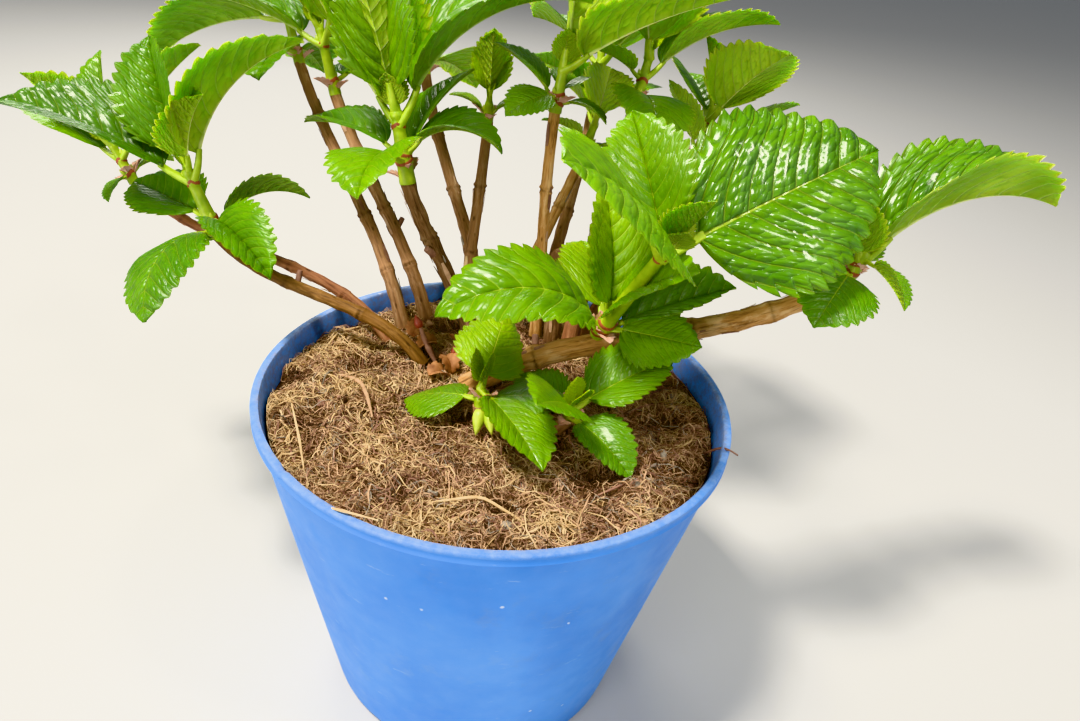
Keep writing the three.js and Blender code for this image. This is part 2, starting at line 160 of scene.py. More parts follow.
CROWN = Vector((0, 0.05, 0.25))
lamp("key", (-0.6, -0.35, 1.8), CROWN, 0.3, 56, "#fff6e8")
lamp("fill", (1.4, -0.9, 1.1), CROWN, 1.4, 7, "#e6efff")
lamp("glint", (0.77, -0.41, 1.42), CROWN, 0.16, 7, "#fff6e8")
lamp("front", (-1.1, -1.5, 0.5), Vector((0, 0, 0.09)), 0.8, 22, "#fffaf2")
lamp("back", (-0.5, 1.5, 1.3), CROWN, 0.8, 24, "#fffaf0")
world = bpy.data.worlds.new("soft room")
bpy.context.scene.world = world
world.use_nodes = True
feed(world.node_tree.nodes["Background"], {"Color": "#e9eef5", "Strength": 0.4})
bpy.context.scene.view_settings.view_transform = "Khronos PBR Neutral"

# %% [markdown]
# ## The plant's plan
# These are the same named sizes that the model was built from, in millimetres and degrees. A woody cane
# has a foot in the compost, a tip, and a radius at each. A green shoot aims along a heading and a climb,
# and carries pairs of leaves at steps along its stem. Heading 0 is to the right, 90 is away from the
# camera. A leaf opens from the stem, folds up along its midrib, droops along its length and rolls about
# it. One that isn't listed under own follows the plant's habit, and None is a leaf that is missing.

# %% The canes
CANES = {
    "left": dict(foot=(-42, 29), tip=(-152, 46, 216), thick=(3.9, 3.5)),
    "left_back": dict(foot=(-64, 47), tip=(-214, 86, 224), thick=(3.4, 2.7)),
    "mid_left": dict(foot=(-48, 74), tip=(-108, 112, 278), thick=(4.0, 3.1)),
    "mid_back": dict(foot=(-59, 62), tip=(-138, 146, 284), thick=(3.9, 3.0)),
    "tall_left": dict(foot=(-18, 52), tip=(-59, 68, 249), thick=(4.6, 4.2)),
    "young": dict(foot=(-28, 84), tip=(-26, 132, 267), thick=(3.8, 3.2)),
    "tall_back": dict(foot=(15, 78), tip=(12, 102, 285), thick=(3.9, 3.3)),
    "mid_right": dict(foot=(-1, 88), tip=(31, 140, 254), thick=(3.8, 3.1)),
    "right_back": dict(foot=(34, 57), tip=(56, 138, 284), thick=(5.0, 3.3)),
    "right": dict(foot=(-16, 12), tip=(162, 32, 240), thick=(5.0, 4.0), rise=0.3),
    "front": dict(foot=(-4, -19), tip=(-6, -21, 177), thick=(3.4, 3.0)),
    "front_right": dict(foot=(32, -14), tip=(36, -19, 173), thick=(3.2, 2.8)),
    "back_left": dict(foot=(-18, 90), tip=(-72, 186, 276), thick=(3.9, 3.2)),
    "back_right": dict(foot=(42, 76), tip=(100, 168, 246), thick=(3.8, 3.2)),
    "back_mid": dict(foot=(17, 97), tip=(34, 194, 262), thick=(3.8, 3.2)),
    "stub": dict(foot=(25, 72), tip=(23, 79, 213), thick=(4.6, 4.2)),
}
print("canes:", len(CANES))

# %% The shoots on the left
SHOOTS = {
    "left": dict(
        on="left", aim=(165, 66), thick=3.9, turn=215, steps=(3, 9, 28, 33), long=(60, 50, 80, 60),
        own={
            "0a": dict(heading=250, fold=5, droop=80),
            "0b": dict(heading=35, open=60, long=46, fold=35, droop=80, roll=-10),
            "1a": dict(heading=315, open=100, fold=50, droop=55),
            "1b": dict(heading=150, fold=25, droop=10, roll=-10),
            "2a": dict(heading=10, open=35, droop=60),
            "2b": dict(heading=190, open=40, fold=40, roll=-15),
            "3a": dict(heading=100, open=15, fold=50, droop=20, roll=-15),
            "3b": dict(heading=325, open=40, long=42, fold=50, droop=30, roll=20),
        },
    ),
    "left_back": dict(
        on="left_back", aim=(170, 62), thick=3.0, turn=250, steps=(4, 12, 20), long=(26, 66, 44),
        own={
            "0a": dict(open=95, long=18),
            "1a": dict(heading=10),
            "1b": dict(heading=170, open=35, long=56, droop=15),
        },
    ),
    "mid_left": dict(
        on="mid_left", aim=(150, 72), thick=3.3, turn=60, steps=(6, 24, 32), long=(48, 74, 40),
        own={"0b": None, "1a": dict(heading=170), "1b": dict(heading=335, open=35)},
    ),
    "mid_back": dict(
        on="mid_back", aim=(140, 66), thick=3.2, turn=95, steps=(6, 24, 32), long=(50, 76, 40),
        own={
            "0b": dict(heading=265, open=90),
            "1a": dict(heading=175, open=75, droop=40),
            "1b": dict(heading=25, open=75, long=70, droop=40),
        },
    ),
    "tall_left": dict(
        on="tall_left", aim=(160, 78), thick=4.4, turn=260, steps=(10, 13, 28, 33), long=(55, 48, 75, 70),
        own={
            "0a": dict(open=65, droop=65, roll=5),
            "0b": dict(heading=55, open=45, droop=30, roll=-20),
            "1a": dict(heading=355, open=55, droop=95, roll=5),
            "1b": dict(heading=165, open=55, droop=40),
            "2a": dict(heading=5, open=35, long=104, droop=75, roll=15),
            "2b": dict(heading=165, open=30, droop=-10, roll=5),
            "3a": dict(heading=80, open=0, long=65),
            "3b": dict(heading=260, open=10),
        },
    ),
}
print("shoots on the left:", len(SHOOTS))

# %% The shoots in the middle and at the back
SHOOTS |= {
    "young": dict(
        on="young", aim=(95, 84), thick=3.0, turn=5, steps=(3, 9), long=(20, 34), open=(50, 12)
    ),
    "tall_back": dict(
        on="tall_back", aim=(50, 82), thick=3.6, turn=165, steps=(4, 8, 20), long=(38, 30, 80),
        own={
            "0a": dict(open=50, droop=30),
            "0b": dict(long=24, droop=55),
            "1a": dict(heading=230, open=95, fold=20, droop=40, roll=-15),
            "1b": dict(open=70),
            "2a": dict(heading=330, open=50, fold=30, droop=20),
            "2b": dict(heading=210, open=0, fold=30, droop=20),
        },
    ),
    "mid_right": dict(
        on="mid_right", aim=(60, 60), thick=3.2, turn=20, steps=(4, 16), long=(26, 44), open=(70, 50),
        own={"1a": dict(heading=130, droop=30), "1b": dict(heading=265, open=60, droop=20)},
    ),
    "back_left": dict(
        on="back_left", aim=(115, 68), thick=3.4, turn=70, steps=(8, 34, 44), long=(60, 82, 42),
        own={"1a": dict(open=40)},
    ),
    "back_right": dict(
        on="back_right", aim=(60, 66), thick=3.4, turn=15, steps=(6, 26, 34), long=(58, 66, 36),
        own={
            "0a": dict(heading=0, open=40, droop=15),
            "0b": dict(heading=200, open=40, long=40, droop=15),
        },
    ),
    "back_mid": dict(
        on="back_mid", aim=(85, 66), thick=3.4, turn=40, steps=(8, 30, 38), long=(56, 74, 40),
        own={"0b": dict(heading=215, open=60, long=52)},
    ),
}
print("shoots so far:", len(SHOOTS))

# %% The shoots on the right and in front
SHOOTS |= {
    "right_back": dict(
        on="right_back", aim=(50, 76), thick=3.5, turn=280, steps=(5, 14, 26), long=(56, 70, 74),
        own={
            "0a": dict(open=85, fold=20, droop=60),
            "0b": dict(long=50),
            "1a": dict(heading=5, open=35, droop=45),
            "1b": dict(heading=200, open=65, long=36, droop=40),
            "2a": dict(open=20, fold=35),
            "2b": dict(heading=250, open=55, fold=30, droop=0),
        },
    ),
    "right_end": dict(
        on="right", aim=(20, 60), thick=3.8, turn=245, steps=(3, 7, 12), long=(44, 94, 22),
        own={
            "0a": dict(open=105, fold=10, roll=10),
            "0b": dict(heading=90, open=55, long=38, fold=30, droop=5),
            "1a": dict(heading=20, open=15, fold=55, droop=65, roll=-10),
            "1b": dict(heading=210, open=50, long=34, fold=40, droop=10),
            "2a": dict(heading=120, open=40, droop=20),
            "2b": dict(heading=305, open=95, long=28, droop=25),
        },
    ),
    "near": dict(
        on="right", side=0.355, out=(-50, 80), aim=(-60, 57), thick=4.0, turn=185,
        steps=(3, 6, 10, 68, 72), long=(84, 50, 56, 100, 52),
        own={
            "0a": dict(open=45, fold=20, droop=95, roll=25, wide=0.72),
            "0b": dict(heading=25, open=50, long=56, fold=50, droop=15, roll=-15),
            "1a": dict(heading=345, open=55, long=40, fold=10, droop=10, roll=10),
            "1b": dict(heading=105, open=85, fold=20, droop=40),
            "2a": dict(heading=335, open=0, fold=30, droop=35, roll=5),
            "2b": dict(heading=120, open=35, fold=40, droop=40),
            "3a": dict(heading=40, open=65, fold=10, roll=10),
            "3b": dict(heading=205, open=35, long=86, fold=10, droop=30, roll=15),
            "4a": dict(heading=125, open=65, fold=35, droop=25, roll=-30),
            "4b": dict(heading=300, open=5, long=32, droop=0),
        },
    ),
    "front": dict(
        on="front", aim=(90, 80), thick=2.6, turn=160, steps=(3, 8), long=(36, 46), open=(95, 75),
        own={
            "0a": dict(fold=0, droop=30, roll=-10),
            "0b": dict(heading=355, open=75, long=33, fold=5, droop=10, roll=10),
            "1a": dict(heading=310, open=100, fold=30, droop=20, roll=-10),
            "1b": dict(heading=80, open=55, long=42, fold=-10, roll=25),
        },
    ),
    "front_right": dict(
        on="front_right", aim=(300, 72), thick=2.4, turn=315, steps=(3, 8), long=(36, 46), open=(80, 60),
        own={
            "0a": dict(open=70, fold=35, droop=40),
            "0b": dict(open=90, long=32, droop=35),
            "1a": dict(heading=35, fold=30, droop=20, roll=-10),
            "1b": dict(heading=235, open=40, long=43, fold=20, droop=20),
        },
    ),
}
print("all shoots:", len(SHOOTS))

# %% [markdown]
# ## How things grow
# A cane is a smooth curve from its foot to its tip. A leaf is a curved blade: it bends down along its
# midrib, its two halves lift like a shallow keel, and it is widest a third of the way along. These
# functions give the middle of every piece; the finish comes on top of them.

# %% Directions and noise
UP = np.array([0.0, 0.0, 1.0])
TURN = 2 * math.pi
WAVES = 14  # how many waves make one noise


def direction(heading, climb):
    """A unit vector from its heading and climb in degrees."""
    h, c = math.radians(heading), math.radians(climb)
    return np.array([math.cos(c) * math.cos(h), math.cos(c) * math.sin(h), math.sin(c)])


def unit(vectors):
    """The same directions with length 1."""
    return vectors / np.maximum(np.linalg.norm(vectors, axis=-1, keepdims=True), 1e-12)


def waves(points, wavelength, seed):
    """Smooth noise from about -1 to 1: a sum of waves that run in random directions."""
    random = np.random.default_rng(seed)
    ways = unit(random.normal(size=(WAVES, points.shape[-1])))
    ways = ways * random.uniform(0.7, 1.5, (WAVES, 1)) * TURN / wavelength
    shift = random.uniform(0, TURN, WAVES)
    return np.sin(points @ ways.T + shift).sum(-1) * 1.2 / math.sqrt(WAVES)


def hump(x, middle, wide):
    """A smooth hump of height 1."""
    return np.exp(-(((x - middle) / wide) ** 2))


print("noise at one point:", round(float(waves(np.zeros(3), 10, 1)), 3))

# %% The curve of a cane
RISE = 0.5  # how upright a cane leaves the compost
GAP = 0.3  # mm between the model's solids
NODE_SPACING = 36
NODE_SWELL = 1.22
SAMPLES = 400


def handles_of(name):
    """The four points of a cane's curve, in mm."""
    cane = CANES[name]
    foot = np.array([*cane["foot"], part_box("cane_" + name)[0].z / MM])
    tip = np.array(cane["tip"], float)
    chord = tip - foot
    pull = np.linalg.norm(chord) / 3
    chord = unit(chord)
    top = [s for s in SHOOTS.values() if s["on"] == name and "side" not in s]
    aim = direction(*top[0]["aim"]) if top else UP
    rise = cane.get("rise", RISE)
    start = foot + unit(chord * (1 - rise) + UP * rise) * pull
    end = tip - unit(chord + aim) * pull
    return np.array([foot, start, end, tip])


def bezier(handles, t):
    """Points of a curve at an array of places from 0 to 1."""
    a, b, c, d = handles
    t = np.asarray(t, float)[..., None]
    return (1 - t) ** 3 * a + 3 * (1 - t) ** 2 * t * b + 3 * (1 - t) * t * t * c + t**3 * d


def walk(handles):
    """Places along a curve and the share of its length at each, and the whole length."""
    t = np.linspace(0, 1, SAMPLES + 1)
    run = np.linalg.norm(np.diff(bezier(handles, t), axis=0), axis=1).cumsum()
    return t, np.concatenate([[0], run]) / run[-1], run[-1]


def on_cane(cane, share):
    """The middle of a cane at a share of its length, and its radius there."""
    middle = bezier(cane["handles"], np.interp(share, cane["share"], cane["t"]))
    return middle, np.interp(share, [0, 1], cane["thick"])


for name, cane in CANES.items():
    cane["handles"] = handles_of(name)
    cane["t"], cane["share"], cane["length"] = walk(cane["handles"])
print("longest cane:", round(max(c["length"] for c in CANES.values())), "mm")

# %% How a leaf lies
HABIT = dict(open=(78, 24), fold=(26, 42), droop=(45, 10))
WIDTH_SHARE = 0.84
PETIOLE_SHARE = 0.15
STEM_SHARE = 0.8
BASE_POWER, TIP_POWER = 0.6, 0.92
TIP_HALF = 0.03
REFLEX = 0.22


def turned(vector, axis, angle):
    """A vector turned about an axis, by an angle in degrees."""
    a = math.radians(angle)
    across = np.cross(axis, vector)
    return vector * math.cos(a) + across * math.sin(a) + axis * np.dot(axis, vector) * (1 - math.cos(a))


def lay_of(shoot, pair, hand):
    """How one leaf of a shoot lies, by the plant's habit or in its own way. None if it is missing."""
    share = pair / (len(shoot["steps"]) - 1)
    mix = lambda ends: ends[0] + (ends[1] - ends[0]) * share
    lay = dict(
        pair=pair,
        heading=shoot["turn"] + 90 * pair + 180 * hand,
        open=mix(shoot.get("open", HABIT["open"])),
        long=shoot["long"][pair],
        fold=mix(HABIT["fold"]),
        droop=mix(HABIT["droop"]),
        roll=0,
    )
    own = shoot.get("own", {}).get(f"{pair}{'ab'[hand]}", {})
    return None if own is None else lay | own


def leaf_of(shoot, step, lay):
    """One leaf of a shoot: where it roots, how it points and its sizes."""
    axis = shoot["axis"]
    level = unit(np.cross(UP, axis))
    toward = np.cross(level, axis)
    at = math.radians(lay["heading"] - shoot["aim"][0])
    spread = math.radians(lay["open"])
    out = toward * math.cos(at) + level * math.sin(at)
    along = axis * math.cos(spread) + out * math.sin(spread)
    normal = turned(axis * math.sin(spread) - out * math.cos(spread), along, lay["roll"])
    root = shoot["start"] + axis * step
    reach = shoot["thick"] * STEM_SHARE + lay["long"] * PETIOLE_SHARE
    return lay | dict(
        root=root, base=root + along * reach, along=along, normal=normal, side=np.cross(normal, along)
    )


print("habit of the lowest pair: open", HABIT["open"][0], "degrees")

# %% Where each shoot starts
OFF_CANE = 1.3

for shoot in SHOOTS.values():
    cane = CANES[shoot["on"]]
    shoot["axis"] = direction(*shoot["aim"])
    if "side" in shoot:
        middle, thick = on_cane(cane, shoot["side"])
        off = thick * NODE_SWELL + GAP + OFF_CANE
        shoot["start"] = middle + direction(*shoot["out"]) * off
    else:
        shoot["start"] = np.array(cane["tip"], float) + shoot["axis"] * GAP
    lays = [(step, lay_of(shoot, i, hand)) for i, step in enumerate(shoot["steps"]) for hand in (0, 1)]
    shoot["leaves"] = [leaf_of(shoot, step, lay) for step, lay in lays if lay]
print("leaves:", sum(len(s["leaves"]) for s in SHOOTS.values()))

# %% The surface of a blade
def outline(u):
    """Half the width of a blade at a share of its length, as a share of its greatest half width."""
    peak = BASE_POWER / (BASE_POWER + TIP_POWER)
    u = np.clip(u, 0, 1)
    return (u / peak) ** BASE_POWER * ((1 - u) / (1 - peak)) ** TIP_POWER


def half_width(leaf):
    """A blade's greatest half width, as a share of its length."""
    return WIDTH_SHARE / 2 * leaf.get("wide", 1)


def blade(leaf, u, v):
    """Points of a blade, the way out of its face and the way to its tip, at arrays u along and v across."""
    bend = math.radians(leaf["droop"]) or 1e-6
    run = np.sin(bend * u) / bend
    fall = (1 - np.cos(bend * u)) / bend
    onward = leaf["along"] * np.cos(bend * u)[..., None] - leaf["normal"] * np.sin(bend * u)[..., None]
    normal = leaf["normal"] * np.cos(bend * u)[..., None] + leaf["along"] * np.sin(bend * u)[..., None]
    half = leaf["long"] * half_width(leaf) * np.maximum(outline(u), TIP_HALF)
    fold = math.radians(leaf["fold"])
    lift = half * (math.sin(fold) * np.abs(v) - REFLEX * v * v)
    middle = leaf["along"] * run[..., None] - leaf["normal"] * fall[..., None]
    points = leaf["base"] + leaf["long"] * middle
    points = points + leaf["side"] * (half * v * math.cos(fold))[..., None] + normal * lift[..., None]
    tilt = (math.sin(fold) - 2 * REFLEX * np.abs(v)) * np.sign(v)
    face = unit(normal * math.cos(fold) - leaf["side"] * tilt[..., None])
    return points, face, onward


print("a blade is widest at", round(BASE_POWER / (BASE_POWER + TIP_POWER), 2), "of its length")

# %% A helper that smooths a piece
def smooth(made, degrees):
    """Shades a piece smooth but for edges sharper than an angle, and leaves it selected alone."""
    deselect()
    made.select_set(True)
    bpy.context.view_layer.objects.active = made
    bpy.ops.object.shade_smooth_by_angle(angle=math.radians(degrees))


print("smoothing ready")

# %% [markdown]
# ## Collecting many small shapes
# A plant has thousands of small parts. Making each one as its own object would be slow, so a batch
# collects their points and faces as arrays, and makes one mesh of them at the end. All of them are closed
# tubes of a kind: a fibre is a thin one, a bud is a short one, and a leaf is one that is pressed flat.

# %% The batch
class Batch:
    """Collects grids of points, and makes them one mesh with UVs and material slots."""

    def __init__(self):
        self.points, self.faces, self.slots, self.uvs = [], [], [], []
        self.caps, self.cap_slots, self.cap_uvs = [], [], []
        self.count = 0

    def tube(self, rings, uvs, slots, split=None):
        """Adds a closed tube through rings of points, with UVs for each point and slots for each strip.

        From the strip called split on, the faces are cut along their other diagonal."""
        rows, sides = rings.shape[:2]
        split = sides if split is None else split
        index = self.count + np.arange(rows * sides).reshape(rows, sides)
        self.points.append(np.asarray(rings, float).reshape(-1, 3))
        self.count += rows * sides
        uvs = np.broadcast_to(uvs, (rows, sides, 2))
        around = lambda a: np.concatenate([a, a[:, :1]], 1)
        quads = lambda a: np.stack([a[:-1, :-1], a[:-1, 1:], a[1:, 1:], a[1:, :-1]], 2)
        turn = lambda q: np.concatenate([q[:, :split], np.roll(q[:, split:], 1, 2)], 1)
        corners = lambda a: turn(quads(a))
        self.faces.append(corners(around(index)).reshape(-1, 4))
        self.uvs.append(corners(around(uvs)).reshape(-1, 2))
        self.slots.append(np.broadcast_to(slots, (rows - 1, sides)).ravel())
        for ring, uv in ((index[0, ::-1], uvs[0, ::-1]), (index[-1], uvs[-1])):
            self.caps.append(ring.tolist())
            self.cap_uvs.append(uv)
            self.cap_slots.append(self.slots[-1][0])

    def triangles(self):
        """How many triangles are in the batch."""
        return 2 * sum(len(f) for f in self.faces) + sum(len(c) - 2 for c in self.caps)

    def make(self, name, materials, degrees=60):
        """The mesh object of all that was added, smooth up to an angle."""
        mesh = bpy.data.meshes.new(name)
        faces = np.concatenate(self.faces).tolist() + self.caps
        mesh.from_pydata((np.concatenate(self.points) * MM).tolist(), [], faces)
        uvs = np.concatenate(self.uvs + self.cap_uvs)
        mesh.uv_layers.new(name="UVMap").data.foreach_set("uv", uvs.ravel())
        for material in materials:
            mesh.materials.append(material)
        slots = np.concatenate(self.slots + [self.cap_slots]).astype(np.int32)
        mesh.polygons.foreach_set("material_index", slots)
        made = bpy.data.objects.new(name, mesh)
        bpy.context.scene.collection.objects.link(made)
        smooth(made, degrees)
        print(name, "has", self.triangles(), "triangles")
        return made


print("batch ready")

# %% Rings round a path
ASKEW = (0.31, 0.22, 0.93)  # a direction that no path starts in


def frames(path):
    """For each point of a path: the way on, and two ways square to it that don't twist."""
    on = unit(np.gradient(path, axis=0))
    side = unit(np.cross(on[0], ASKEW))
    sides = []
    for way in on:
        side = unit(side - way * np.dot(side, way))
        sides.append(side)
    sides = np.array(sides)
    return on, sides, np.cross(on, sides)


def around_ring(sides):
    """The angles of the points of a ring."""
    return np.linspace(0, TURN, sides, endpoint=False)


def rings_round(path, radius, sides):
    """Round rings of points along a path, with one radius for each of its points."""
    _, first, second = frames(path)
    angle = around_ring(sides)
    across = first[:, None] * np.cos(angle)[None, :, None] + second[:, None] * np.sin(angle)[None, :, None]
    return path[:, None] + across * radius[:, None, None]


print("rings ready")

# %% [markdown]
# ## Shaders
# Patterns are given by their real size in millimetres and lie on the object's own coordinates, or on
# the leaf's own map, so that they stay put when the light or the camera moves. Most finishes are built up
# like paint: a base colour, and then patches of other colours where a noise is high.

# %% The scale of a pattern
def every(mm):
    """The scale that repeats a pattern every so many millimetres."""
    return 1 / (mm * MM)


print("a pattern of 2 mm has scale", every(2))

# %% Patches of another colour
def patches(tree, paint, place, mm, detail, low, high, tint, rough=0.5, most=1.0):
    """A paint with patches of a tint: none where a noise is low, and the most where it is high."""
    noise = add(tree, "TexNoise", (place, every(mm), detail, rough))
    share = add(tree, "MapRange", (noise, low, high, 0, most))
    return add(tree, "Mix", (share, paint, tint), data_type="RGBA")


print("patches ready")

# %% [markdown]
# ### Blue polypropylene
# The pot is moulded from polypropylene. Its skin comes out satin and faintly pebbled, and the sun fades it
# in patches. Scratches could be painted on by hand, but noise needs no map and has no seams, so each
# layer of noise is one thing that happened to the pot: scuffs, chips, a rubbed lip, dust, stuck compost.
# The pale top of the lip is worn, and it is also a painted highlight.

# %% The pot's plastic
def make_plastic():
    """Blue moulded polypropylene, faded by the sun: satin, with pale scuffs, a lip worn pale and painted
    with a highlight, dust and stuck compost.
    """
    made, tree, surface = new_material("sun-faded blue polypropylene")
    place = add(tree, "TexCoord").outputs["Object"]
    # faded in wide clouds
    paint = patches(tree, "#3e84dc", place, 60, 4, 0.35, 0.7, "#5a9cef")
    # short pale scuffs that run round the pot
    flattened = add(tree, "Mapping", {"Vector": place, "Scale": (0.35, 0.35, 1.6)})
    paint = patches(tree, paint, flattened, 5, 6, 0.64, 0.74, "#a9c2e8", rough=0.65, most=0.5)
    # small white specks, where something has chipped the surface
    cells = add(tree, "TexVoronoi", {"Vector": place, "Scale": every(19), "Randomness": 1.0})
    shaken = add(tree, "TexNoise", (place, every(2), 3))
    uneven = add(tree, "Math", (shaken, 0.09, cells), operation="MULTIPLY_ADD")
    chips = add(tree, "MapRange", (uneven, 0.095, 0.07, 0, 0.8))
    paint = add(tree, "Mix", (chips, paint, "#dbe6f6"), data_type="RGBA")
    # the lip is pale along its top: worn, and also a painted highlight where the light catches it
    height = add(tree, "SeparateXYZ", (place,)).outputs["Z"]
    worn_and_lit_lip = add(tree, "MapRange", (height, (HEIGHT - 2.5) * MM, (HEIGHT - 0.5) * MM))
    paint = patches(tree, paint, place, 4, 8, 0.35, 0.85, "#a3c0ec", rough=0.75, most=worn_and_lit_lip)
    # dust, in blotches
    paint = patches(tree, paint, place, 22, 6, 0.56, 0.8, "#8890a0", rough=0.7, most=0.25)
    # compost sticks to the wall inside
    inside = add(tree, "Attribute", attribute_name="inside").outputs["Fac"]
    grains = add(tree, "TexNoise", (place, every(3), 10, 0.8))
    smears = add(tree, "MapRange", (grains, 0.35, 0.7, 0, 0.8))
    stuck = add(tree, "Math", (smears, inside), operation="MULTIPLY")
    paint = add(tree, "Mix", (stuck, paint, "#7b6654"), data_type="RGBA")
    # satin, and more worn in places
    handled = add(tree, "TexNoise", (place, every(9), 4))
    shine = add(tree, "MapRange", (handled, -0.7, 1.6))
    orange_peel = add(tree, "TexNoise", (place, every(1.6)))
    bumps = add(tree, "Bump", {"Height": orange_peel, "Distance": 0.12 * MM, "Strength": 0.5})
    feed(surface, {"Base Color": paint, "Roughness": shine, "Normal": bumps})
    return made


pot_plastic = make_plastic()
print(pot_plastic.name)

# %% [markdown]
# ### Compost and fibres
# Dry compost is a mat of coconut and peat fibres over dark crumbs. One noisy brown alone looks like mud, so
# the compost gets a dark crumbly finish, and the fibres on it are real shapes in five plain finishes that
# are dealt out one by one. All are matt, because dry fibre scatters light.

# %% Compost and fibres
def make_compost():
    """Dry crumbly compost: dark brown hollows and lighter crumbs, rough all over."""
    made, tree, surface = new_material("dry fibrous compost")
    place = add(tree, "TexCoord").outputs["Object"]
    crumbs = add(tree, "TexNoise", (place, every(3), 8, 0.7))
    raised = add(tree, "MapRange", (crumbs, 0.3, 0.65))
    paint = add(tree, "Mix", (raised, "#2b1d14", "#80624a"), data_type="RGBA")
    paint = patches(tree, paint, place, 24, 4, 0.45, 0.7, "#94765a")
    bumps = add(tree, "Bump", {"Height": crumbs, "Distance": 1.5 * MM})
    feed(surface, {"Base Color": paint, "Roughness": 0.95, "Specular IOR Level": 0.15, "Normal": bumps})
    return made


def make_fibre(name, dark, light):
    """One sort of dry plant fibre, matt and streaked along its length by fine noise."""
    made, tree, surface = new_material(name)
    place = add(tree, "TexCoord").outputs["Object"]
    paint = patches(tree, dark, place, 4, 3, 0.3, 0.7, light)
    fine = add(tree, "TexNoise", (place, every(0.5)))
    bumps = add(tree, "Bump", {"Height": fine, "Distance": 0.1 * MM})
    feed(surface, {"Base Color": paint, "Roughness": 0.75, "Specular IOR Level": 0.25, "Normal": bumps})
    return made


compost_paint = make_compost()
FIBRES = {
    "tan coconut fibre": ("#a48466", "#c9a788"),
    "brown coconut fibre": ("#76574a", "#9c7966"),
    "dark peat fibre": ("#35251c", "#553f31"),
    "pale straw": ("#bf9f70", "#dfc89e"),
    "grey weathered fibre": ("#827a70", "#aba190"),
}
fibre_paints = [make_fibre(name, *ends) for name, ends in FIBRES.items()]
print("fibres:", list(FIBRES))

# %% [markdown]
# ### Bark
# The canes wear thin bark that splits along the grain and peels, with breathing spots and the dark ragged
# scars of old leaves. Wood grain could come from bands, but those are too even. A noise that is drawn out
# along the cane gives strips and cracks, and it reads the cane's own grain, because the canes bend.

# %% Bark
def make_bark(name, dark, middle, light, spots, rough=0.8):
    """Bark that peels in strips along the cane, with darker breathing spots. The grain runs along."""
    made, tree, surface = new_material(name)
    grain = add(tree, "Attribute", attribute_name="grain").outputs["Vector"]
    stretched = add(tree, "Mapping", {"Vector": grain, "Scale": (1, 1, 0.12)})
    strips = add(tree, "TexNoise", (stretched, every(2.2), 6, 0.6))
    raised = add(tree, "MapRange", (strips, 0.3, 0.46))
    paint = add(tree, "Mix", (raised, dark, middle), data_type="RGBA")
    crests = add(tree, "MapRange", (strips, 0.5, 0.85))
    paint = add(tree, "Mix", (crests, paint, light), data_type="RGBA")
    # bare places where the outer skin is gone, drawn out along the cane
    drawn_out = add(tree, "Mapping", {"Vector": grain, "Scale": (1, 1, 0.4)})
    paint = patches(tree, paint, drawn_out, 9, 5, 0.52, 0.6, light, rough=0.65, most=0.5)
    # fine cracks along the grain
    fine = add(tree, "Mapping", {"Vector": grain, "Scale": (1, 1, 0.07)})
    threads = add(tree, "TexNoise", (fine, every(1.1), 3, 0.6))
    cracks = add(tree, "MapRange", (threads, 0.44, 0.34, 0, 0.6))
    paint = add(tree, "Mix", (cracks, paint, dark), data_type="RGBA")
    # the scars of old leaves are dark and ragged
    scar = add(tree, "Attribute", attribute_name="scar").outputs["Fac"]
    paint = patches(tree, paint, grain, 2, 5, 0.35, 0.55, spots, rough=0.7, most=scar)
    # breathing spots, in some places only
    oval = add(tree, "Mapping", {"Vector": grain, "Scale": (1, 1, 0.45)})
    cells = add(tree, "TexVoronoi", {"Vector": oval, "Scale": every(5.2), "Randomness": 1.0})
    dots = add(tree, "MapRange", (cells, 0.17, 0.08))
    spotted = add(tree, "TexNoise", (grain, every(17), 2))
    dots = add(tree, "MapRange", (spotted, 0.42, 0.6, 0, dots))
    marks = add(tree, "Math", (dots, 0.8), operation="MULTIPLY")
    paint = add(tree, "Mix", (marks, paint, spots), data_type="RGBA")
    height = add(tree, "Math", (dots, -0.5, strips), operation="MULTIPLY_ADD")
    height = add(tree, "Math", (threads, 0.5, height), operation="MULTIPLY_ADD")
    bumps = add(tree, "Bump", {"Height": height, "Distance": 0.8 * MM})
    feed(surface, {"Base Color": paint, "Roughness": rough, "Specular IOR Level": 0.3, "Normal": bumps})
    return made


barks = {
    "tan": make_bark("tan peeling bark", "#5c4130", "#93704f", "#bb9b78", "#38241a"),
    "orange": make_bark("orange-tan peeling bark", "#644427", "#b88b56", "#dfbf8c", "#301c10"),
    "brown": make_bark("smooth olive-brown bark", "#432c14", "#745229", "#9a7644", "#241509", 0.65),
    "dark": make_bark("dark rough old bark", "#3e2b1c", "#6f543c", "#a18565", "#21160e", 0.95),
    "red": make_bark("reddish brown young bark", "#4d3024", "#855a40", "#ae8460", "#2c1a13"),
}
print("barks:", list(barks))

# %% [markdown]
# ### Leaf
# The leaf is quilted: it bulges up between a net of veins, and its waxy skin makes each bulge glint. The
# large bulges are in the mesh. The small ones could be too, at ten times the faces, so they are a bump
# that follows the leaf's map. A clear coat is the wax, and a little light under the skin is the sun in it.

# %% Leaf
VEINS = 8  # pairs of side veins from base to tip
BOW, BEND = 0.5, 1.5  # how far a side vein leans to the tip, and how much more so further out


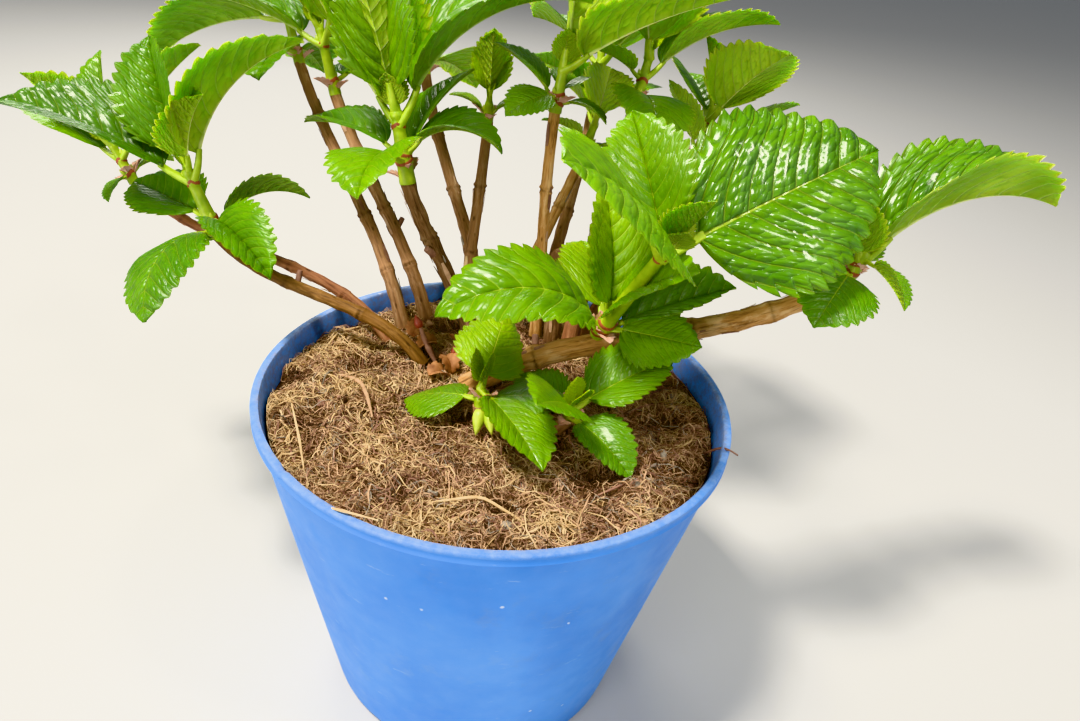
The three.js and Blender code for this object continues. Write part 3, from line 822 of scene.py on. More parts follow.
def make_leaf(name, looks, blister, below=False):
    """Living leaf: rows of glossy blisters between the side veins, painted shade in the grooves between
    them, a pale midrib and a little glow.

    Blister is the height of the blisters in mm. Below, the veins stand out instead."""
    deep, bright, vein, rough, coat, glow = looks
    made, tree, surface = new_material(name)
    places = add(tree, "TexCoord").outputs
    phase, side, _ = add(tree, "SeparateXYZ", (places["UV"],)).outputs
    off_midrib = add(tree, "Math", (side,), operation="ABSOLUTE")
    off_vein = add(tree, "Math", (phase, 0.5), operation="PINGPONG")
    side_vein = add(tree, "MapRange", (off_vein, 0.06, 0.015, 0, 0.4))
    # the midrib gets thinner to the tip
    thinning = add(tree, "Math", (phase, -1 / VEINS, 1.05), operation="MULTIPLY_ADD")
    share = add(tree, "Math", (off_midrib, thinning), operation="DIVIDE")
    midrib = add(tree, "MapRange", (share, 0.011, 0.005))
    veins = add(tree, "Math", (side_vein, midrib), operation="MAXIMUM")
    # blisters: rounded cells, one or two across each panel, as they lie on the leaf's map
    spread = add(tree, "Mapping", {"Vector": places["UV"], "Scale": (2.2, 21, 1)})
    inputs = {"Vector": spread, "Scale": 1.0, "Randomness": 0.7}
    cells = add(tree, "TexVoronoi", inputs, voronoi_dimensions="2D")
    hollow = add(tree, "Math", (cells, 2.0), operation="POWER")
    dome = add(tree, "Math", (hollow, -1.56, 1.0), operation="MULTIPLY_ADD")
    panel = add(tree, "MapRange", (off_vein, 0, 0.3))
    panel = add(tree, "Math", (panel, 0.6), operation="POWER")
    puff = add(tree, "Math", (dome, panel), operation="MULTIPLY")
    paint = patches(tree, deep, places["Object"], 26, 3, 0.3, 0.7, bright)
    lines = add(tree, "Math", (veins, 0.8), operation="MULTIPLY")
    # painted shade: the low grooves between the blisters turn to the deep colour, and then the veins are
    # drawn pale
    for share, tint in ((add(tree, "MapRange", (puff, 0.5, -0.2)), deep), (lines, vein)):
        paint = add(tree, "Mix", (share, paint, tint), data_type="RGBA")
    height = add(tree, "Math", (veins, -0.6, puff), operation="MULTIPLY_ADD")
    bumps = add(tree, "Bump", {"Height": height, "Distance": blister * MM}, invert=below)
    feed(surface, {"Base Color": paint, "Roughness": rough, "Specular IOR Level": 0.35, "Normal": bumps})
    feed(surface, {"Coat Weight": coat, "Coat Roughness": 0.15})
    glowing = {"Weight": glow, "Radius": (0.5, 1.0, 0.1), "Scale": 1.5 * MM}
    feed(surface, {"Subsurface " + name: value for name, value in glowing.items()})
    return made


print("side veins on each half:", VEINS)

# %% The finishes of the leaves
# deep colour, bright colour, veins, roughness, clear coat and glow. Old leaves are deep green and waxy,
# and young ones are yellower, softer and let more light through. Deep green is also painted shade on some
# leaves.
TOPS = {
    "deep green leaf": ("#285000", "#406d00", "#86a03c", 0.38, 0.14, 0.15),
    "mid green leaf": ("#376500", "#568500", "#9ab33c", 0.38, 0.14, 0.2),
    "green leaf": ("#467400", "#679202", "#a6bf40", 0.36, 0.16, 0.2),
    "fresh green leaf": ("#5c8600", "#82a506", "#bccc54", 0.4, 0.12, 0.25),
    "young yellow-green leaf": ("#7c9d04", "#a6be18", "#d2d878", 0.44, 0.1, 0.28),
    "glossy blistered leaf": ("#3a6a00", "#5a8a00", "#9db53c", 0.24, 0.5, 0.15),
}
DEEP, MID, GREEN, FRESH, YOUNG, GLOSSY = range(len(TOPS))
# large leaves are blistered, the glossiest most of all, and small ones are nearly smooth
BLISTERS = (0.6, 0.6, 0.5, 0.42, 0.35, 1.5)
leaf_paints = [make_leaf(name, looks, mm) for (name, looks), mm in zip(TOPS.items(), BLISTERS)]
leaf_paints += [make_leaf("small " + name, looks, 0.28) for name, looks in TOPS.items()]
# the blue of the blue-green underside is a painted reflection of the sky
UNDERSIDES = {
    "pale leaf underside": ("#76981a", "#9fb93a", "#d2da90", 0.5, 0.0, 0.45),
    "mid green leaf underside": ("#5c8216", "#7f9f2c", "#b6c874", 0.5, 0.0, 0.4),
    "blue-green leaf underside with painted sky reflection": ("#56784a", "#789666", "#a9bf94", 0.55, 0.0, 0.3),
}
leaf_paints += [make_leaf(name, looks, 0.8, below=True) for name, looks in UNDERSIDES.items()]
print("leaf finishes:", len(leaf_paints))

# %% [markdown]
# ### Stems, buds and scales
# Young stems are smooth and full of water, while scales and dead leaves are dry and papery. They differ
# in colour, shine and glow more than in pattern, so one recipe makes them all.

# %% Green stems, buds and scales
def make_tissue(name, deep, bright, rough=0.45, glow=0.1):
    """Soft living tissue: an even colour that changes slowly, slightly shiny."""
    made, tree, surface = new_material(name)
    place = add(tree, "TexCoord").outputs["Object"]
    paint = patches(tree, deep, place, 5, 4, 0.3, 0.7, bright)
    pores = add(tree, "TexNoise", (place, every(1.2), 3))
    bumps = add(tree, "Bump", {"Height": pores, "Distance": 0.2 * MM, "Strength": 0.6})
    feed(surface, {"Base Color": paint, "Roughness": rough, "Normal": bumps})
    feed(surface, {"Subsurface Weight": glow, "Subsurface Scale": 1.0 * MM})
    return made


stem_paints = [
    make_tissue("yellow-green stem", "#7a9a10", "#a2ba30"),
    make_tissue("pale green petiole", "#88a81a", "#b2c844"),
    make_tissue("red-brown node", "#7a3a24", "#a4583a", 0.6),
    make_tissue("papery bud scale", "#b98470", "#dcb6a2", 0.7),
    make_tissue("yellow-green bud", "#98b02c", "#c0cf5a"),
    make_tissue("red-brown bud", "#6e2f24", "#9a4a38", 0.5),
    make_tissue("dry curled leaf", "#6c3f20", "#ab7a50", 0.75, 0.0),
]
GREEN_STEM, PETIOLE, NODE, SCALE, BUD, RED_BUD, DRY_LEAF = range(len(stem_paints))
FIRST_TOP = len(stem_paints)
FIRST_UNDER = FIRST_TOP + 2 * len(TOPS)
PALE_UNDER, MID_UNDER, SKY_BLUE_UNDER = range(FIRST_UNDER, FIRST_UNDER + len(UNDERSIDES))
plant_paints = stem_paints + leaf_paints
print("finishes of the plant:", len(plant_paints))

# %% [markdown]
# ## The pot
# The pot is one thin moulded shell: a tapered wall, a lip with a rounded bead and a floor with drain
# holes. A profile could be spun, but spinning leaves a seam to merge. Here a disc is extruded and scaled
# ring by ring, up the wall, over the lip and down the inside, the way a potter would raise it.

# %% A body of rings
def raise_rings(name, profile, sides):
    """A closed round body through rings given as (radius, height) in mm, from a disc at the first."""
    deselect()
    radius, height = profile[0]
    place = (0, 0, height * MM)
    bpy.ops.mesh.primitive_circle_add(vertices=sides, radius=radius * MM, fill_type="NGON", location=place)
    made = bpy.context.object
    made.name = name
    bpy.ops.object.transform_apply(location=True)
    bpy.ops.object.mode_set(mode="EDIT")
    bpy.ops.mesh.select_all(action="SELECT")
    for new_radius, new_height in profile[1:]:
        up = (0, 0, (new_height - height) * MM)
        bpy.ops.mesh.extrude_region_move(TRANSFORM_OT_translate={"value": up})
        scale = new_radius / radius
        bpy.ops.transform.resize(value=(scale, scale, 1))
        radius, height = new_radius, new_height
    bpy.ops.mesh.select_all(action="SELECT")
    bpy.ops.mesh.normals_make_consistent(inside=False)
    bpy.ops.object.mode_set(mode="OBJECT")
    return made


def points_of(made):
    """The points of a mesh object, in mm."""
    flat = np.empty(3 * len(made.data.vertices))
    made.data.vertices.foreach_get("co", flat)
    return flat.reshape(-1, 3) / MM


def move_points(made, points):
    """Puts the points of a mesh object in new places, in mm."""
    made.data.vertices.foreach_set("co", (points * MM).ravel())
    made.data.update()


print("rings can be raised")

# %% Raise the pot
FOOT = 81  # radius
WALL, FLOOR = 2.2, 3
LIP_DEPTH, OVERHANG, LIP_WIDTH = 6, 2.4, 3.9
SHOULDER = RIM - OVERHANG  # radius of the wall under the lip
UNDER = HEIGHT - LIP_DEPTH
DISC = 60  # radius of the disc that it grows from


def wall_at(share):
    """A point of the outer wall."""
    return FOOT + (SHOULDER - FOOT) * share, 3 + (UNDER - 3) * share


def inside_at(share):
    """A point of the inner wall."""
    return wall_at(share)[0] - WALL, 6 + (UNDER - 6) * share


def round_at(x, z, radius, angle):
    """A point of a rounded corner."""
    return x + radius * math.cos(math.radians(angle)), z + radius * math.sin(math.radians(angle))


profile = [(DISC, 0), (FOOT - 3.4, 0), (FOOT - 1.2, 0.7), (FOOT - 0.3, 1.8)]
profile += [wall_at(share) for share in np.linspace(0.01, 0.985, 24)]
profile += [(SHOULDER + 0.1, UNDER - 0.4), (SHOULDER + 0.6, UNDER), (RIM - 0.9, UNDER + 0.1)]
profile += [round_at(RIM - 0.6, UNDER + 0.8, 0.6, a) for a in (-50, 0)]
# the band of the lip is slightly waisted, with a rounded bead along its top
profile += [(RIM - 0.35, UNDER + 1.8), (RIM - 0.4, HEIGHT - 2.6), (RIM - 0.1, HEIGHT - 2.0)]
profile += [round_at(RIM - 0.8, HEIGHT - 0.8, 0.8, a) for a in (0, 30, 60, 90)]
profile += [round_at(RIM - LIP_WIDTH + 1.1, HEIGHT - 1.1, 1.1, a) for a in (90, 130, 170)]
profile += [inside_at(share) for share in np.linspace(0.985, 0.02, 20)]
profile += [(FOOT - WALL - 1, FLOOR + 1), (FOOT - WALL - 3, FLOOR), (DISC, FLOOR)]
pot = raise_rings("pot_shell", profile, 192)
print("pot rings:", len(profile))

# %% [markdown]
# Water leaves through a ring of holes in the floor. They could be left out of the rings, but a boolean
# cut with a drill is simpler, and its walls come out square to the floor.

# %% Cut the drain holes
HOLES, HOLE_RADIUS, HOLE_CIRCLE, DRILL = 6, 6, 58, 20
for i in range(HOLES):
    angle = TURN * (i + 0.5) / HOLES
    place = (HOLE_CIRCLE * MM * math.cos(angle), HOLE_CIRCLE * MM * math.sin(angle), 0)
    deselect()
    size = dict(radius=HOLE_RADIUS * MM, depth=DRILL * MM)
    bpy.ops.mesh.primitive_cylinder_add(vertices=32, location=place, **size)
    drill = bpy.context.object
    cut = pot.modifiers.new("drain hole", "BOOLEAN")
    cut.operation = "DIFFERENCE"
    cut.object = drill
    bpy.context.view_layer.objects.active = pot
    bpy.ops.object.modifier_apply(modifier=cut.name)
    bpy.data.objects.remove(drill)
print("pot points:", len(pot.data.vertices))

# %% [markdown]
# A thin pot full of compost is never quite round, and this one's rim has split a little. Moving the points
# by a smooth noise bends the whole shell at once, so that the wall keeps its thickness.

# %% Make the pot a used one
OUT_OF_ROUND = 0.5
SPLIT_AT, SPLIT_WIDE, SPLIT_DEEP = math.radians(225), 0.016, 1.6  # at the front left

points = points_of(pot)
around = np.arctan2(points[:, 1], points[:, 0])
out = np.stack([np.cos(around), np.sin(around), 0 * around], 1)
high = np.clip(points[:, 2] / HEIGHT, 0, 1)
# slightly out of round, more so higher up
sway = waves(points * [1, 1, 0.3], 140, 3)
points += out * (OUT_OF_ROUND * high * sway)[:, None]
split = hump(around % TURN, SPLIT_AT, SPLIT_WIDE)
points[:, 2] -= SPLIT_DEEP * split * (points[:, 2] > HEIGHT - 2.1)
move_points(pot, points)
# the inner side is marked, because compost sticks to it
outer_wall = FOOT + (SHOULDER - FOOT) * (points[:, 2] - 3) / (UNDER - 3)
inside = (np.hypot(points[:, 0], points[:, 1]) < outer_wall - WALL / 2) & (points[:, 2] > FLOOR - 0.5)
pot.data.attributes.new("inside", "FLOAT", "POINT").data.foreach_set("value", inside.astype(float))
pot.data.materials.append(pot_plastic)
smooth(pot, 40)
print("pot size in mm:", [round(x / MM, 1) for x in pot.dimensions])

# %% [markdown]
# ## The compost
# The compost has shrunk from the wall a little and lies in clumps with darker hollows. A texture could
# push its points up and down, but a function for the height of its top also tells the fibres, the
# crumbs and the canes where they touch it.

# %% The top of the compost
LEVEL, SLOPE = 164, -0.02
CLUMPS = ((34, 11, 1.3), (14, 12, 0.9), (6, 13, 0.5))  # how wide, seed, how high
CLUMPING = 0.8
HOLLOW = 4.0
EDGE_DROP = 2.5  # how far its side ends below the level
FALL = 1.5  # how far the top falls to the wall
MOAT = 7  # how far from the wall the compost starts to fall
SHRUNK = 0.6  # the gap to the wall


def inner_radius(z):
    """The pot's inner radius at a height."""
    low, high = FOOT - WALL, SHOULDER - WALL
    return low + (high - low) * (z - 6) / (UNDER - 6)


EDGE_RADIUS = inner_radius(LEVEL) - SHRUNK


def hollows(x, y):
    """Where the compost lies open and dark, from about -1 to 1."""
    return waves(np.stack([x, y], -1), 40, 61)


def compost_top(x, y):
    """Height of the compost's surface."""
    flat = np.stack([x, y], -1)
    top = LEVEL + SLOPE * x + 1.6 * np.sin(x / 17 + 0.5) * np.cos(y / 21)
    clumps = sum(high * waves(flat, wide, seed) for wide, seed, high in CLUMPS)
    near_wall = np.clip((np.hypot(x, y) - EDGE_RADIUS + MOAT) / MOAT, 0, 1)
    sunk = HOLLOW * np.clip(hollows(x, y) - 0.5, 0, 1)
    return top + clumps * CLUMPING - sunk - FALL * near_wall**2


print("the compost is", round(float(compost_top(0.0, 0.0))), "mm high in the middle")

# %% Fill the pot
low = FLOOR + GAP
profile = [(inner_radius(low + 3) - 4, low)]
profile += [(inner_radius(z) - SHRUNK, z) for z in (low + 3, 60, 120, LEVEL - EDGE_DROP)]
profile += [(radius, LEVEL) for radius in np.linspace(EDGE_RADIUS - 0.8, 1, 84)]
compost = raise_rings("compost_bed", profile, 240)
points = points_of(compost)
on_top = points[:, 2] > LEVEL - 0.1
x, y = points[on_top, 0], points[on_top, 1]
points[on_top, 2] = compost_top(x, y) + 0.35 * waves(np.stack([x, y], 1), 2.5, 14)
move_points(compost, points)
compost.data.materials.append(compost_paint)
smooth(compost, 70)
print("compost points:", len(points))

# %% [markdown]
# ### Fibres and crumbs
# Each dry fibre is a bent tube of three sides that starts thin, arches up and comes down again. Hair
# particles could do this, but they would have to be turned into meshes, and they don't stop at the wall.
# Drawing them from a seeded random generator gives the same mat each time.

# %% Strew fibres
TAN, BROWN, DARK, STRAW, GREY = range(len(FIBRES))
FIBRE_POINTS = 6


def anywhere(random, margin):
    """A random spot on the compost, at least a margin from its edge."""
    away = (EDGE_RADIUS - margin) * math.sqrt(random.uniform(0, 1))
    angle = random.uniform(0, TURN)
    return np.array([math.cos(angle), math.sin(angle)]) * away


def strew(batch, count, seed, long, thick, lift, curl, mix):
    """Strews curled fibres. Lengths and radii are (least, most) in mm, mix is the share of each sort."""
    random = np.random.default_rng(seed)
    share = np.linspace(0, 1, FIBRE_POINTS)
    for _ in range(count):
        spot = anywhere(random, 3)
        length = random.uniform(*long)
        heading = random.uniform(0, TURN) + random.uniform(-curl, curl) * np.linspace(-1, 1, FIBRE_POINTS)
        heading += random.normal(0, curl * 0.25, FIBRE_POINTS)
        run = np.stack([np.cos(heading), np.sin(heading)], 1) * length / (FIBRE_POINTS - 1)
        flat = spot + np.cumsum(run, 0) - run.sum(0) / 2
        far = np.linalg.norm(flat, axis=1)
        flat *= np.minimum(1, (EDGE_RADIUS - 1.0) / far)[:, None]
        arch = random.uniform(0.1, 1) * lift * np.sin(math.pi * share) ** 1.5
        rise = random.normal(0, lift * 0.12, FIBRE_POINTS).cumsum() * 0.4
        z = compost_top(flat[:, 0], flat[:, 1]) + arch + np.abs(rise) + random.uniform(-0.2, 0.5)
        radius = random.uniform(*thick) * (0.35 + 0.65 * np.sin(math.pi * np.clip(share, 0.06, 0.94)))
        rings = rings_round(np.column_stack([flat, z]), radius, 3)
        # dark fibres in the hollows, straw on the high parts, and straw on the left, where its pale colour
        # also paints the sunlit side
        middle = flat[FIBRE_POINTS // 2]
        open_here = hollows(*middle)
        left = -middle[0] / EDGE_RADIUS
        weight = mix * np.exp([0, 0, 1.8 * open_here - 0.5, 0.8 * left - 1.4 * open_here, 0])
        batch.tube(rings, (0, 0), int(random.choice(len(mix), p=weight / weight.sum())))


# the last numbers of each call are the shares of tan, brown, dark, straw and grey
fine_pieces = []
for i in range(2):
    fine = Batch()
    strew(fine, 5800, 21 + i, (5, 17), (0.09, 0.24), 3.4, 2.2, (40, 22, 10, 26, 6))
    fine_pieces.append(fine.make(f"compost_fine_fibres_{i + 1}", fibre_paints))
coarse = Batch()
strew(coarse, 1700, 24, (5, 18), (0.2, 0.5), 3.0, 1.3, (40, 30, 14, 12, 6))
strew(coarse, 110, 25, (22, 48), (0.18, 0.38), 5.0, 0.9, (10, 4, 0, 30, 4))
print("coarse fibres so far have", coarse.triangles(), "triangles")

# %% Strew crumbs
CRUMBS = 420
POLE = 0.12  # where the rings of a crumb start, as an angle from its pole


def crumb(batch, place, size, seed, sort):
    """A lumpy crumb of compost or bark."""
    random = np.random.default_rng(seed)
    turns, angle = np.linspace(POLE, math.pi - POLE, 6)[:, None], around_ring(8)
    ball = [np.sin(turns) * np.cos(angle), np.sin(turns) * np.sin(angle), -np.cos(turns) + 0 * angle]
    ball = np.stack(ball, 2)
    stretch = random.uniform(0.55, 1.3, 3) * size
    rough = 1 + 0.28 * waves(ball * 3 + seed, 3, 5)
    batch.tube(place + ball * rough[..., None] * stretch, (0, 0), sort)


random = np.random.default_rng(31)
for i in range(CRUMBS):
    x, y = anywhere(random, 5)
    size = 0.7 + 1.8 * random.uniform(0, 1) ** 3
    sort = int(random.choice([TAN, BROWN, BROWN, DARK, DARK, GREY]))
    crumb(coarse, np.array([x, y, float(compost_top(x, y)) + 0.2]), size, 1000 + i, sort)
print("crumbs:", CRUMBS)

# %% Lay the bits that the photo shows one by one
# the points of its way in mm, its radius in the middle and its finish
BITS = [
    ([(-85, 6, 168), (-67, -1, 169), (-60, -16, 171), (-54, -31, 170)], 1.1, TAN),
    ([(-74, -69, 164), (-80, -56, 173), (-87, -43, 181)], 0.55, STRAW),
    ([(-62, -88, 165), (-52, -101, 176.5), (-34, -105, 177)], 0.5, STRAW),
    ([(100, -18, 160), (108, -24, 171), (110, -34, 177.5), (115, -31, 173)], 0.7, BROWN),
    ([(-20, -80, 166), (2, -74, 168), (22, -83, 164)], 0.8, STRAW),
    ([(48, -62, 163), (66, -50, 166), (88, -46, 161)], 0.7, BROWN),
    ([(-94, 20, 167), (-90, 42, 170), (-78, 60, 166)], 0.6, STRAW),
    ([(-34, 30, 163), (-41, 34, 174), (-45, 36, 183)], 1.6, BROWN),
]
for way, thick, sort in BITS:
    way = np.array(way, float)
    share = np.linspace(0, 1, 14)
    stops = np.linspace(0, 1, len(way))
    path = np.stack([np.interp(share, stops, way[:, k]) for k in range(3)], 1)
    path[1:-1] = (path[:-2] + 2 * path[1:-1] + path[2:]) / 4
    radius = thick * (0.4 + 0.6 * np.sin(math.pi * np.clip(share, 0.08, 0.92)))
    coarse.tube(rings_round(path, radius * (1 + 0.12 * waves(path, 6, 8)), 8), (0, 0), sort)
coarse_fibres = coarse.make("compost_coarse_fibres", fibre_paints)

# %% [markdown]
# ## The canes
# A cane is a woody stem of last year: smooth in its run, swollen at each pair of old leaf scars, and
# covered in bark that lies in strips. A skinned row of points would look jointed, so Blender's own curve
# gives the run, and as a mesh its points are then pushed out by taper, nodes, scars and bark.

# %% How each cane looks
# The finish, how deep the relief is in mm, and how stout the cane looks next to its plain solid.
LOOKS = {
    "left": ("brown", 0.2, 0.84),
    "left_back": ("red", 0.2, 0.88),
    "mid_left": ("tan", 0.25, 0.95),
    "mid_back": ("tan", 0.25, 0.95),
    "tall_left": ("dark", 0.6, 0.9),
    "young": ("tan", 0.2, 0.9),
    "tall_back": ("orange", 0.2, 0.86),
    "mid_right": ("orange", 0.25, 0.9),
    "right_back": ("red", 0.3, 1.0),
    "right": ("orange", 0.4, 1.14),
    "front": ("tan", 0.2, 1.0),
    "front_right": ("tan", 0.2, 1.0),
    "back_left": ("tan", 0.25, 1.0),
    "back_right": ("red", 0.25, 1.0),
    "back_mid": ("tan", 0.25, 1.0),
    "stub": ("dark", 0.6, 1.0),
}
print("finishes in use:", sorted({finish for finish, _, _ in LOOKS.values()}))

# %% A round tube for each cane
CANE_STEPS = 220


def cane_curve(name):
    """A thin round tube along a cane, as a mesh."""
    deselect()
    bpy.ops.curve.primitive_bezier_curve_add()
    made = bpy.context.object
    made.name = "cane_" + name + "_bark"
    curve = made.data
    curve.resolution_u = CANE_STEPS
    curve.bevel_depth = MM
    curve.bevel_resolution = 9
    foot, start, end, tip = (Vector(p) for p in CANES[name]["handles"] * MM)
    first, last = curve.splines[0].bezier_points
    ends = ((first, foot, 2 * foot - start, start), (last, tip, end, 2 * tip - end))
    for point, place, before, after in ends:
        point.handle_left_type = point.handle_right_type = "FREE"
        point.co, point.handle_left, point.handle_right = place, before, after
    bpy.ops.object.convert(target="MESH")
    bpy.ops.object.mode_set(mode="EDIT")
    bpy.ops.mesh.select_all(action="SELECT")
    bpy.ops.mesh.fill_holes(sides=0)
    bpy.ops.object.mode_set(mode="OBJECT")
    return bpy.context.object


print("a cane has", CANE_STEPS + 1, "rings")

# %% The relief of the bark
FOOT_SWELL, FOOT_LONG = 1.12, 6
TIP_SWELL = 1.05
NODE_RISE, NODE_WIDE = 0.75 * (NODE_SWELL - 1), 3.2
SCAR_HIGH = 0.7
STRIP_WIDE, STRIP_PULL = 3.2, 0.16  # strips of bark, and how far their noise is drawn out along the cane


def bark_relief(name, share, out, length):
    """How thick a cane is at each point, by its taper, nodes, scars and bark, and how dark its scars are."""
    cane, (_, rough, stout) = CANES[name], LOOKS[name]
    thick = np.interp(share, [0, 1], cane["thick"]) * stout
    swell = (FOOT_SWELL - 1) * np.exp(-share * length / FOOT_LONG) + (TIP_SWELL - 1) * share**8
    nodes = round(length / NODE_SPACING)
    scars, dark = np.zeros_like(share), np.zeros_like(share)
    for i in range(1, nodes):
        off = (share - i / nodes) * length
        swell = swell + NODE_RISE * hump(off, 0, NODE_WIDE)
        # the two scars of a pair face opposite ways, and each pair is a quarter turn on
        way = math.radians(90 * i + 20)
        facing = np.abs(out[..., 0] * math.cos(way) + out[..., 1] * math.sin(way)) ** 3
        # a lip over a dent, and a thin ring below them
        lip = hump(off, 1.6, 0.8) - 0.6 * hump(off, 0.2, 0.7)
        scars += facing * lip * SCAR_HIGH + 0.25 * hump(off, -1.4, 0.4)
        dark += (0.45 + 0.5 * facing) * hump(off, 0.1, 1.1)
    along = np.broadcast_to((share * length)[..., None], out.shape[:-1] + (1,))
    grain = np.concatenate([out * thick[..., None], along * STRIP_PULL], -1)
    knots = np.concatenate([out * thick[..., None], along], -1)
    strips = np.abs(waves(grain, STRIP_WIDE, 41)) ** 0.8 - 0.5
    lumps = waves(knots, 7, 42)
    return thick * (1 + swell) + scars + rough * (0.7 * strips + 0.35 * lumps), dark


print("a node swells a cane by", round(100 * NODE_RISE), "percent")

# %% Work the bark of every cane
def work_bark(made, name):
    """Gives the tube its thickness and relief, and the grain that its finish follows."""
    cane = CANES[name]
    rows = CANE_STEPS + 1
    points = points_of(made).reshape(rows, -1, 3)
    centre = points.mean(1, keepdims=True)
    out = unit(points - centre)
    angle = around_ring(out.shape[1])
    share = np.interp(np.linspace(0, 1, rows), cane["t"], cane["share"])[:, None] + 0 * out[..., 0]
    thick, dark = bark_relief(name, share, out, cane["length"])
    points = centre + out * thick[..., None]
    if name == "stub":  # its end is torn, not cut
        onward = unit(centre[-1, 0] - centre[-2, 0])
        points[-1] += onward * (2.6 * np.sin(angle * 2 + 0.6) + 1.6 * np.sin(angle * 5))[:, None]
    move_points(made, points.reshape(-1, 3))
    radius = np.interp(share[:, 0], [0, 1], cane["thick"])[:, None]
    grain = np.stack([radius * np.cos(angle), radius * np.sin(angle), share * cane["length"]], 2)
    kept = made.data.attributes.new("grain", "FLOAT_VECTOR", "POINT")
    kept.data.foreach_set("vector", (grain * MM).ravel())
    made.data.attributes.new("scar", "FLOAT", "POINT").data.foreach_set("value", dark.ravel())


cane_pieces = {}
for name in CANES:
    made = cane_curve(name)
    work_bark(made, name)
    made.data.materials.clear()
    made.data.materials.append(barks[LOOKS[name][0]])
    smooth(made, 70)
    cane_pieces[name] = made
print("cane points:", sum(len(c.data.vertices) for c in cane_pieces.values()))

# %% [markdown]
# ### Peeling strips, spurs and the woody crown
# Old bark comes loose in thin curls, dead spurs stick out where twigs broke off, and the canes leave the
# compost from a lumpy crown. These catch the light and break the outline, which no bump can do, so
# they are small closed shapes.

# %% Peeling strips
STRIP_POINTS = 7
CLEAR, STRIP_THIN = 0.25, 0.16  # how far a strip stands off the cane, and half its thickness


def strip(batch, name, share, angle, long, wide, lift, sort):
    """A strip of outer bark that has come loose at its upper end."""
    cane = CANES[name]
    path, thick = on_cane(cane, np.linspace(share, share + long / cane["length"], STRIP_POINTS))
    on, first, second = frames(path)
    out = first * math.cos(angle) + second * math.sin(angle)
    free = np.linspace(0, 1, STRIP_POINTS) ** 2 * lift
    middle = path + out * (thick * LOOKS[name][2] + CLEAR + free)[:, None]
    level = np.cross(on, out)
    ring = around_ring(6)
    half = wide / 2 * (0.4 + 0.6 * np.sin(math.pi * np.linspace(0.15, 0.95, STRIP_POINTS)))
    across = level[:, None] * (np.cos(ring) * half[:, None])[..., None]
    rings = middle[:, None] + across + out[:, None] * (STRIP_THIN * np.sin(ring))[None, :, None]
    batch.tube(rings[:, ::-1], (0, 0), sort)


peel = Batch()
random = np.random.default_rng(51)
PEELING = {"right": 34, "left": 4, "left_back": 5, "mid_left": 12, "mid_back": 9, "tall_left": 16}
PEELING |= {"tall_back": 5, "mid_right": 6, "right_back": 12, "young": 4, "stub": 12, "back_left": 6}
for name, count in PEELING.items():
    for _ in range(count):
        share, angle = random.uniform(0.02, 0.9), random.uniform(0, TURN)
        long, wide, lift = random.uniform(4, 14), random.uniform(1.0, 2.8), random.uniform(0.1, 1.0)
        long = min(long, (0.97 - share) * CANES[name]["length"])
        sort = int(random.choice([TAN, BROWN, STRAW, GREY], p=[0.4, 0.3, 0.1, 0.2]))
        strip(peel, name, share, angle, long, wide, lift, sort)
print("strips:", sum(PEELING.values()))

# %% Spurs and the crown
# short dead spurs: cane, share of its length, heading, climb, length and radius in mm
SPURS = [
    ("right", 0.47, 275, -72, 11, 2.3),
    ("right", 0.2, 100, 50, 7, 1.8),
    ("tall_left", 0.55, 215, 40, 6, 2.0),
    ("mid_left", 0.4, 60, 45, 5, 1.6),
    ("left", 0.62, 80, 60, 5, 1.5),
    ("right_back", 0.35, 250, 30, 6, 2.0),
]
for name, share, heading, climb, long, thick in SPURS:
    root, cane_thick = on_cane(CANES[name], share)
    way = direction(heading, climb)
    reach = cane_thick + long
    path = root + way * np.array([0, 0.45, 0.8, 0.97, 1.0])[:, None] * reach
    radius = thick * np.array([1.2, 1.05, 1.0, 0.9, 0.5])
    peel.tube(rings_round(path, radius, 10), (0, 0), BROWN)

# the lumpy crown where the canes leave the compost
LUMPS = 7
for i, cane in enumerate(CANES.values()):
    for j in range(LUMPS):
        angle = random.uniform(0, TURN)
        away = cane["thick"][0] * random.uniform(0.9, 2.2)
        x, y = np.array(cane["foot"]) + away * np.array([math.cos(angle), math.sin(angle)])
        place = np.array([x, y, float(compost_top(x, y)) + random.uniform(-0.4, 1.0)])
        size, sort = random.uniform(0.9, 2.2), int(random.choice([TAN, BROWN, DARK]))
        crumb(peel, place, size, 3000 + 10 * i + j, sort)
bark_bits = peel.make("cane_bark_strips", fibre_paints)

# %% [markdown]
# ## Leaves
# A leaf is a thin closed blade. Its margin is cut into teeth that point forward, its panels puff up
# between the side veins, and its midrib stands out below. A flat card with a picture of a leaf is the
# usual short cut, but it has no thickness and no real teeth. The leaf's map holds which vein a point lies
# by and how far it is from the midrib, so that the finish draws the veins where the relief has them.

# %% Grow one leaf
# where the rows of points lie within a tooth, and how far each row is pushed out
LARGE_TEETH = ((0.0, 0.18, 0.36, 0.54, 0.71, 0.86), (0.0, 0.32, 0.6, 0.82, 0.96, 1.0))
SMALL_TEETH = ((0.0, 0.3, 0.6, 0.86), (0.0, 0.52, 0.88, 1.0))
LARGE_LEAF = 60
# shares of a leaf's length, then shares of a tooth
PUFF, SWAY = 0.012, 0.011
TOOTH_OUT, TOOTH_ON, TOOTH_LONG = 0.46, 0.1, 1.15
# where the rim that carries the teeth starts, from midrib to margin, and how wide it is
RIM_FROM, RIM_WIDE = 0.8, 0.2
HALF_THICK = 0.2  # mm
RIB_WIDE = 0.03


def teeth_of(long):
    """How many teeth a leaf has on each side."""
    return round(9 + long / 18)


